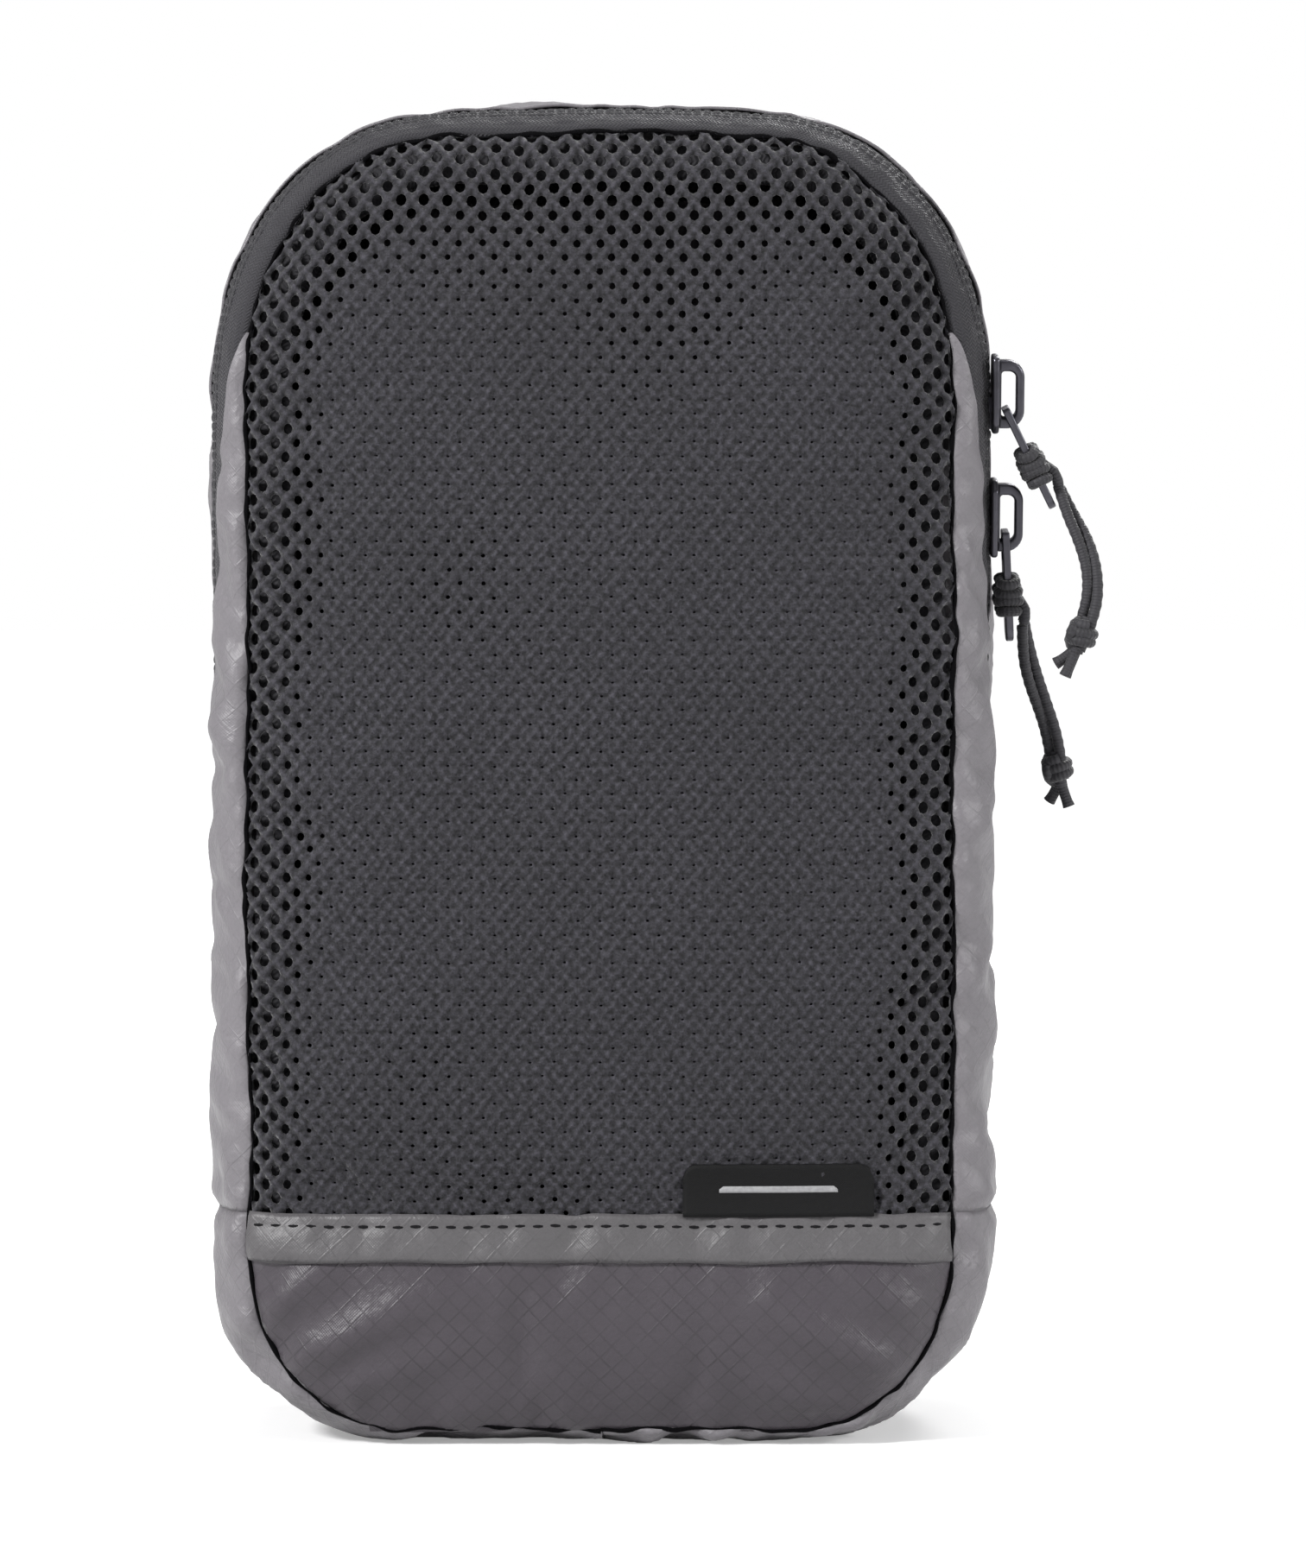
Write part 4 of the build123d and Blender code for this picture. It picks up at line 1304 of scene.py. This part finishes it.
def make_cord(name, axes):
    """The hitch on the puller, the doubled cord, its knot and its two cut tails."""
    origin, across, up, facing = axes
    start = np.array(joint_spot(f"cord_{name}_swing")) / MM
    line = smooth_route(start, ROUTES[name])
    run, ahead, side, lift = along_line(line)
    knot_at = run[-1] * 0.70
    cord_body = "cord_" + name
    mid = int(np.searchsorted(run, knot_at + 2.6))
    at = lambda d: int(np.clip(np.searchsorted(run, d), 0, len(run) - 1))

    turns = np.linspace(0, 2.6 * 2 * math.pi, 80)
    share = turns / turns[-1]
    axis, k_side, k_up, centre = ahead[mid], side[mid], lift[mid], line[mid]
    girth = 1.62 + 0.2 * np.sin(share * math.pi)
    wraps = (centre + axis * ((share - 0.5) * 3.3)[:, None]
             + (k_side * np.cos(turns)[:, None] + k_up * np.sin(turns)[:, None] * 0.92) * girth[:, None])
    cross = np.linspace(-1, 1, 14)
    bridge = (centre + axis * (cross * 2.0)[:, None] + k_side * (1.1 * np.cos(cross * 2.2))[:, None]
              + k_up * (2.05 - 1.2 * cross ** 2)[:, None])
    core = centre + axis * np.linspace(-2.9, 2.9, 10)[:, None]
    knot_parts = [tube(wraps, STRAND * 0.98, 12, up=axis), tube(bridge, STRAND, 12),
                  tube(core, STRAND * 1.25, 12)]
    knot = make_piece("cord_overhand_" + name, *merged(knot_parts), CORD_BRAID, cord_body, "cord",
                      ["cord_knot_" + name])

    tail_from = at(knot_at + 4.4)
    first_tail = line[tail_from:]
    reach = run[-1] - run[tail_from]
    steps = np.linspace(0, 1, 8)[:, None]
    second_tail = (line[tail_from] - side[mid] * 0.6 + ahead[mid] * reach * 0.72 * steps
                   + (lift[mid] * 1.9 - side[mid] * 1.1) * steps ** 1.4)
    swell = 1 + 0.16 * np.clip((np.linspace(0, 1, len(first_tail)) - 0.8) / 0.2, 0, 1)
    swell_two = 1 + 0.16 * np.clip((steps[:, 0] - 0.8) / 0.2, 0, 1)
    parts = strands(line, run, side, lift, knot_at)
    parts += [tube(first_tail, STRAND * swell, 12), tube(second_tail, STRAND * swell_two, 12)]
    cord = make_piece("pull_cord_braid_" + name, *merged(parts), CORD_BRAID, cord_body, "cord",
                      ["pull_cord_" + name])

    hitch_parts = []
    loop = np.linspace(0, 2 * math.pi, 20, endpoint=False)
    for leg in (-1.0, 1.0):
        for down, slant, girth in ((7.2, 0.4, 0.84), (8.7, 0.5, 1.08), (10.3, -0.3, 1.12), (11.9, -0.2, 0.9)):
            ring = (origin + across * (leg * 1.98 + 1.28 * np.cos(loop))[:, None]
                    + facing * (1.46 * girth * np.sin(loop))[:, None]
                    - up * (down + slant * np.cos(loop) * leg)[:, None])
            hitch_parts.append(tube(ring, STRAND * 0.92, 10, up=up, closed=True))
        lead = np.array([origin + across * leg * 0.9 + facing * 1.7 - up * 10.4,
                         origin + across * leg * 1.15 + facing * 2.55 - up * 11.9,
                         origin + across * leg * 1.0 + facing * 2.5 - up * 13.2,
                         start + across * leg * 0.85 + up * 0.3])
        t = np.linspace(0, 3, 13)
        smooth_lead = np.stack([np.interp(t, range(4), lead[:, k]) for k in range(3)], 1)
        hitch_parts.append(tube(smooth_lead, STRAND * 0.95, 12))
    hitch = make_piece("cord_lark_head_" + name, *merged(hitch_parts), CORD_BRAID, "puller_" + name, "cord",
                       ["cord_hitch_" + name])


make_base()
make_back()
mesh_window()
seam_line("lid_seam_thread_and_shadow", outline_span(JOIN_RIGHT, JOIN_LEFT, 0.7), -1, FRONT_THREAD_AND_SHADOW, "fold")
make_bindings()
make_label()
HARDWARE = {"upper": (162.0, -1, 26.0), "lower": (143.0, 1, 3.0)}   # height, nose and puller angle
for name, (height, nose, angle) in HARDWARE.items():
    make_slider(name, height, nose)
    make_cord(name, make_puller(name, angle))

declare_sheets({"base_panel_cloth": ["base_hem_cloth"], "mesh_window_knit": ["label_cloth"]})

# ---- camera, light and floor ------------------------------------------------------------
bpy.context.scene.view_settings.view_transform = "Standard"


def aimed(name, data, place, target):
    """A camera or a lamp at a place, looking at its target."""
    holder = add_object(name, data)
    holder.location = place
    holder.rotation_euler = (Vector(target) - Vector(place)).to_track_quat("-Z", "Y").to_euler()
    return holder


def make_camera():
    """A long lens straight in front, a little above."""
    camera = bpy.data.cameras.new("camera")
    camera.lens = 135.0
    target = Vector((0.008, 0.0, 0.101))
    distance, rise = 0.93, math.radians(2.0)
    place = target + Vector((0, -math.cos(rise), math.sin(rise))) * distance
    bpy.context.scene.camera = aimed("camera", camera, place, target)


def area_light(name, place, target, size, power):
    lamp = bpy.data.lights.new(name, "AREA")
    lamp.shape = "DISK"
    lamp.size = size
    lamp.energy = power
    aimed(name, lamp, place, target)


FLOOR_RADIUS = 14.0
FLOOR_GLOW = (0.3, 0.85)                         # how far the picture's floor is lifted, near and far
GLOW_REACH = (350.0, 1400.0)                     # millimetres from the cube
HORIZON_BAND = 0.24                              # sine of the height up to which the surround is bright
SURROUND = (0.6, 0.22)                           # its strength at the horizon and overhead


def make_floor():
    """A wide white floor, bright enough in the picture to have no edge."""
    turn = np.linspace(0, 2 * math.pi, 96, endpoint=False)
    rings = np.array([0.0, 0.4, 1.5, 5.0, FLOOR_RADIUS]) / MM
    points = np.array([(r * math.cos(a), r * math.sin(a), 0.0) for r in rings for a in turn])
    white = Shader("floor_white", 0.9, Specular_IOR_Level=0.1)
    white.surface.inputs["Emission Color"].default_value = (1.0, 1.0, 1.0, 1.0)
    place = white.cloth()[0]
    distance = white.node("ShaderNodeVectorMath", {0: place}, operation="LENGTH").outputs["Value"]
    seen = white.node("ShaderNodeLightPath").outputs["Is Camera Ray"]
    glow = white.times(seen, white.spread(distance, *GLOW_REACH, *FLOOR_GLOW))
    white.put(white.surface.inputs["Emission Strength"], glow)
    white.tint((0.8, 0.8, 0.8, 1.0), white.spread(white.noise(place, 300.0), 0, 1, 0.99, 1.01))
    floor = make_piece("floor", points, grid_faces(len(rings), len(turn), False, True), points,
                       white.material)


def make_surround():
    """White in the picture; as a light it is bright at the horizon and dim overhead."""
    world = bpy.data.worlds.new("surround")
    world.use_nodes = True
    nodes, links = world.node_tree.nodes, world.node_tree.links
    direction = nodes.new("ShaderNodeTexCoord")
    parts = nodes.new("ShaderNodeSeparateXYZ")
    height, strength = nodes.new("ShaderNodeMath"), nodes.new("ShaderNodeMath")
    height.operation, strength.operation = "ABSOLUTE", "MAXIMUM"
    level = nodes.new("ShaderNodeMapRange")
    level.interpolation_type = "SMOOTHSTEP"
    for socket, value in zip(level.inputs[1:5], (HORIZON_BAND, 2 * HORIZON_BAND, *SURROUND)):
        socket.default_value = value
    seen = nodes.new("ShaderNodeLightPath")
    links.new(direction.outputs["Generated"], parts.inputs[0])
    links.new(parts.outputs[2], height.inputs[0])
    links.new(height.outputs[0], level.inputs[0])
    links.new(level.outputs[0], strength.inputs[0])
    links.new(seen.outputs["Is Camera Ray"], strength.inputs[1])
    links.new(strength.outputs[0], nodes["Background"].inputs["Strength"])
    nodes["Background"].inputs["Color"].default_value = (1.0, 1.0, 1.0, 1.0)
    bpy.context.scene.world = world


def make_lamps():
    """A soft key from the front left, a fill, a rim and a wash over the floor."""
    area_light("key", (-0.95, -0.85, 0.95), (0, 0, 0.1), 0.28, 26.0)
    area_light("fill", (1.2, -0.5, 0.6), (0, 0, 0.1), 0.4, 9.0)
    area_light("rim", (0.5, 1.0, 1.0), (0, 0, 0.12), 0.4, 12.0)
    area_light("floor_wash", (0.0, 0.2, 1.8), (0, 0.2, 0.0), 1.4, 6.0)


make_camera()
make_floor()
make_surround()
make_lamps()
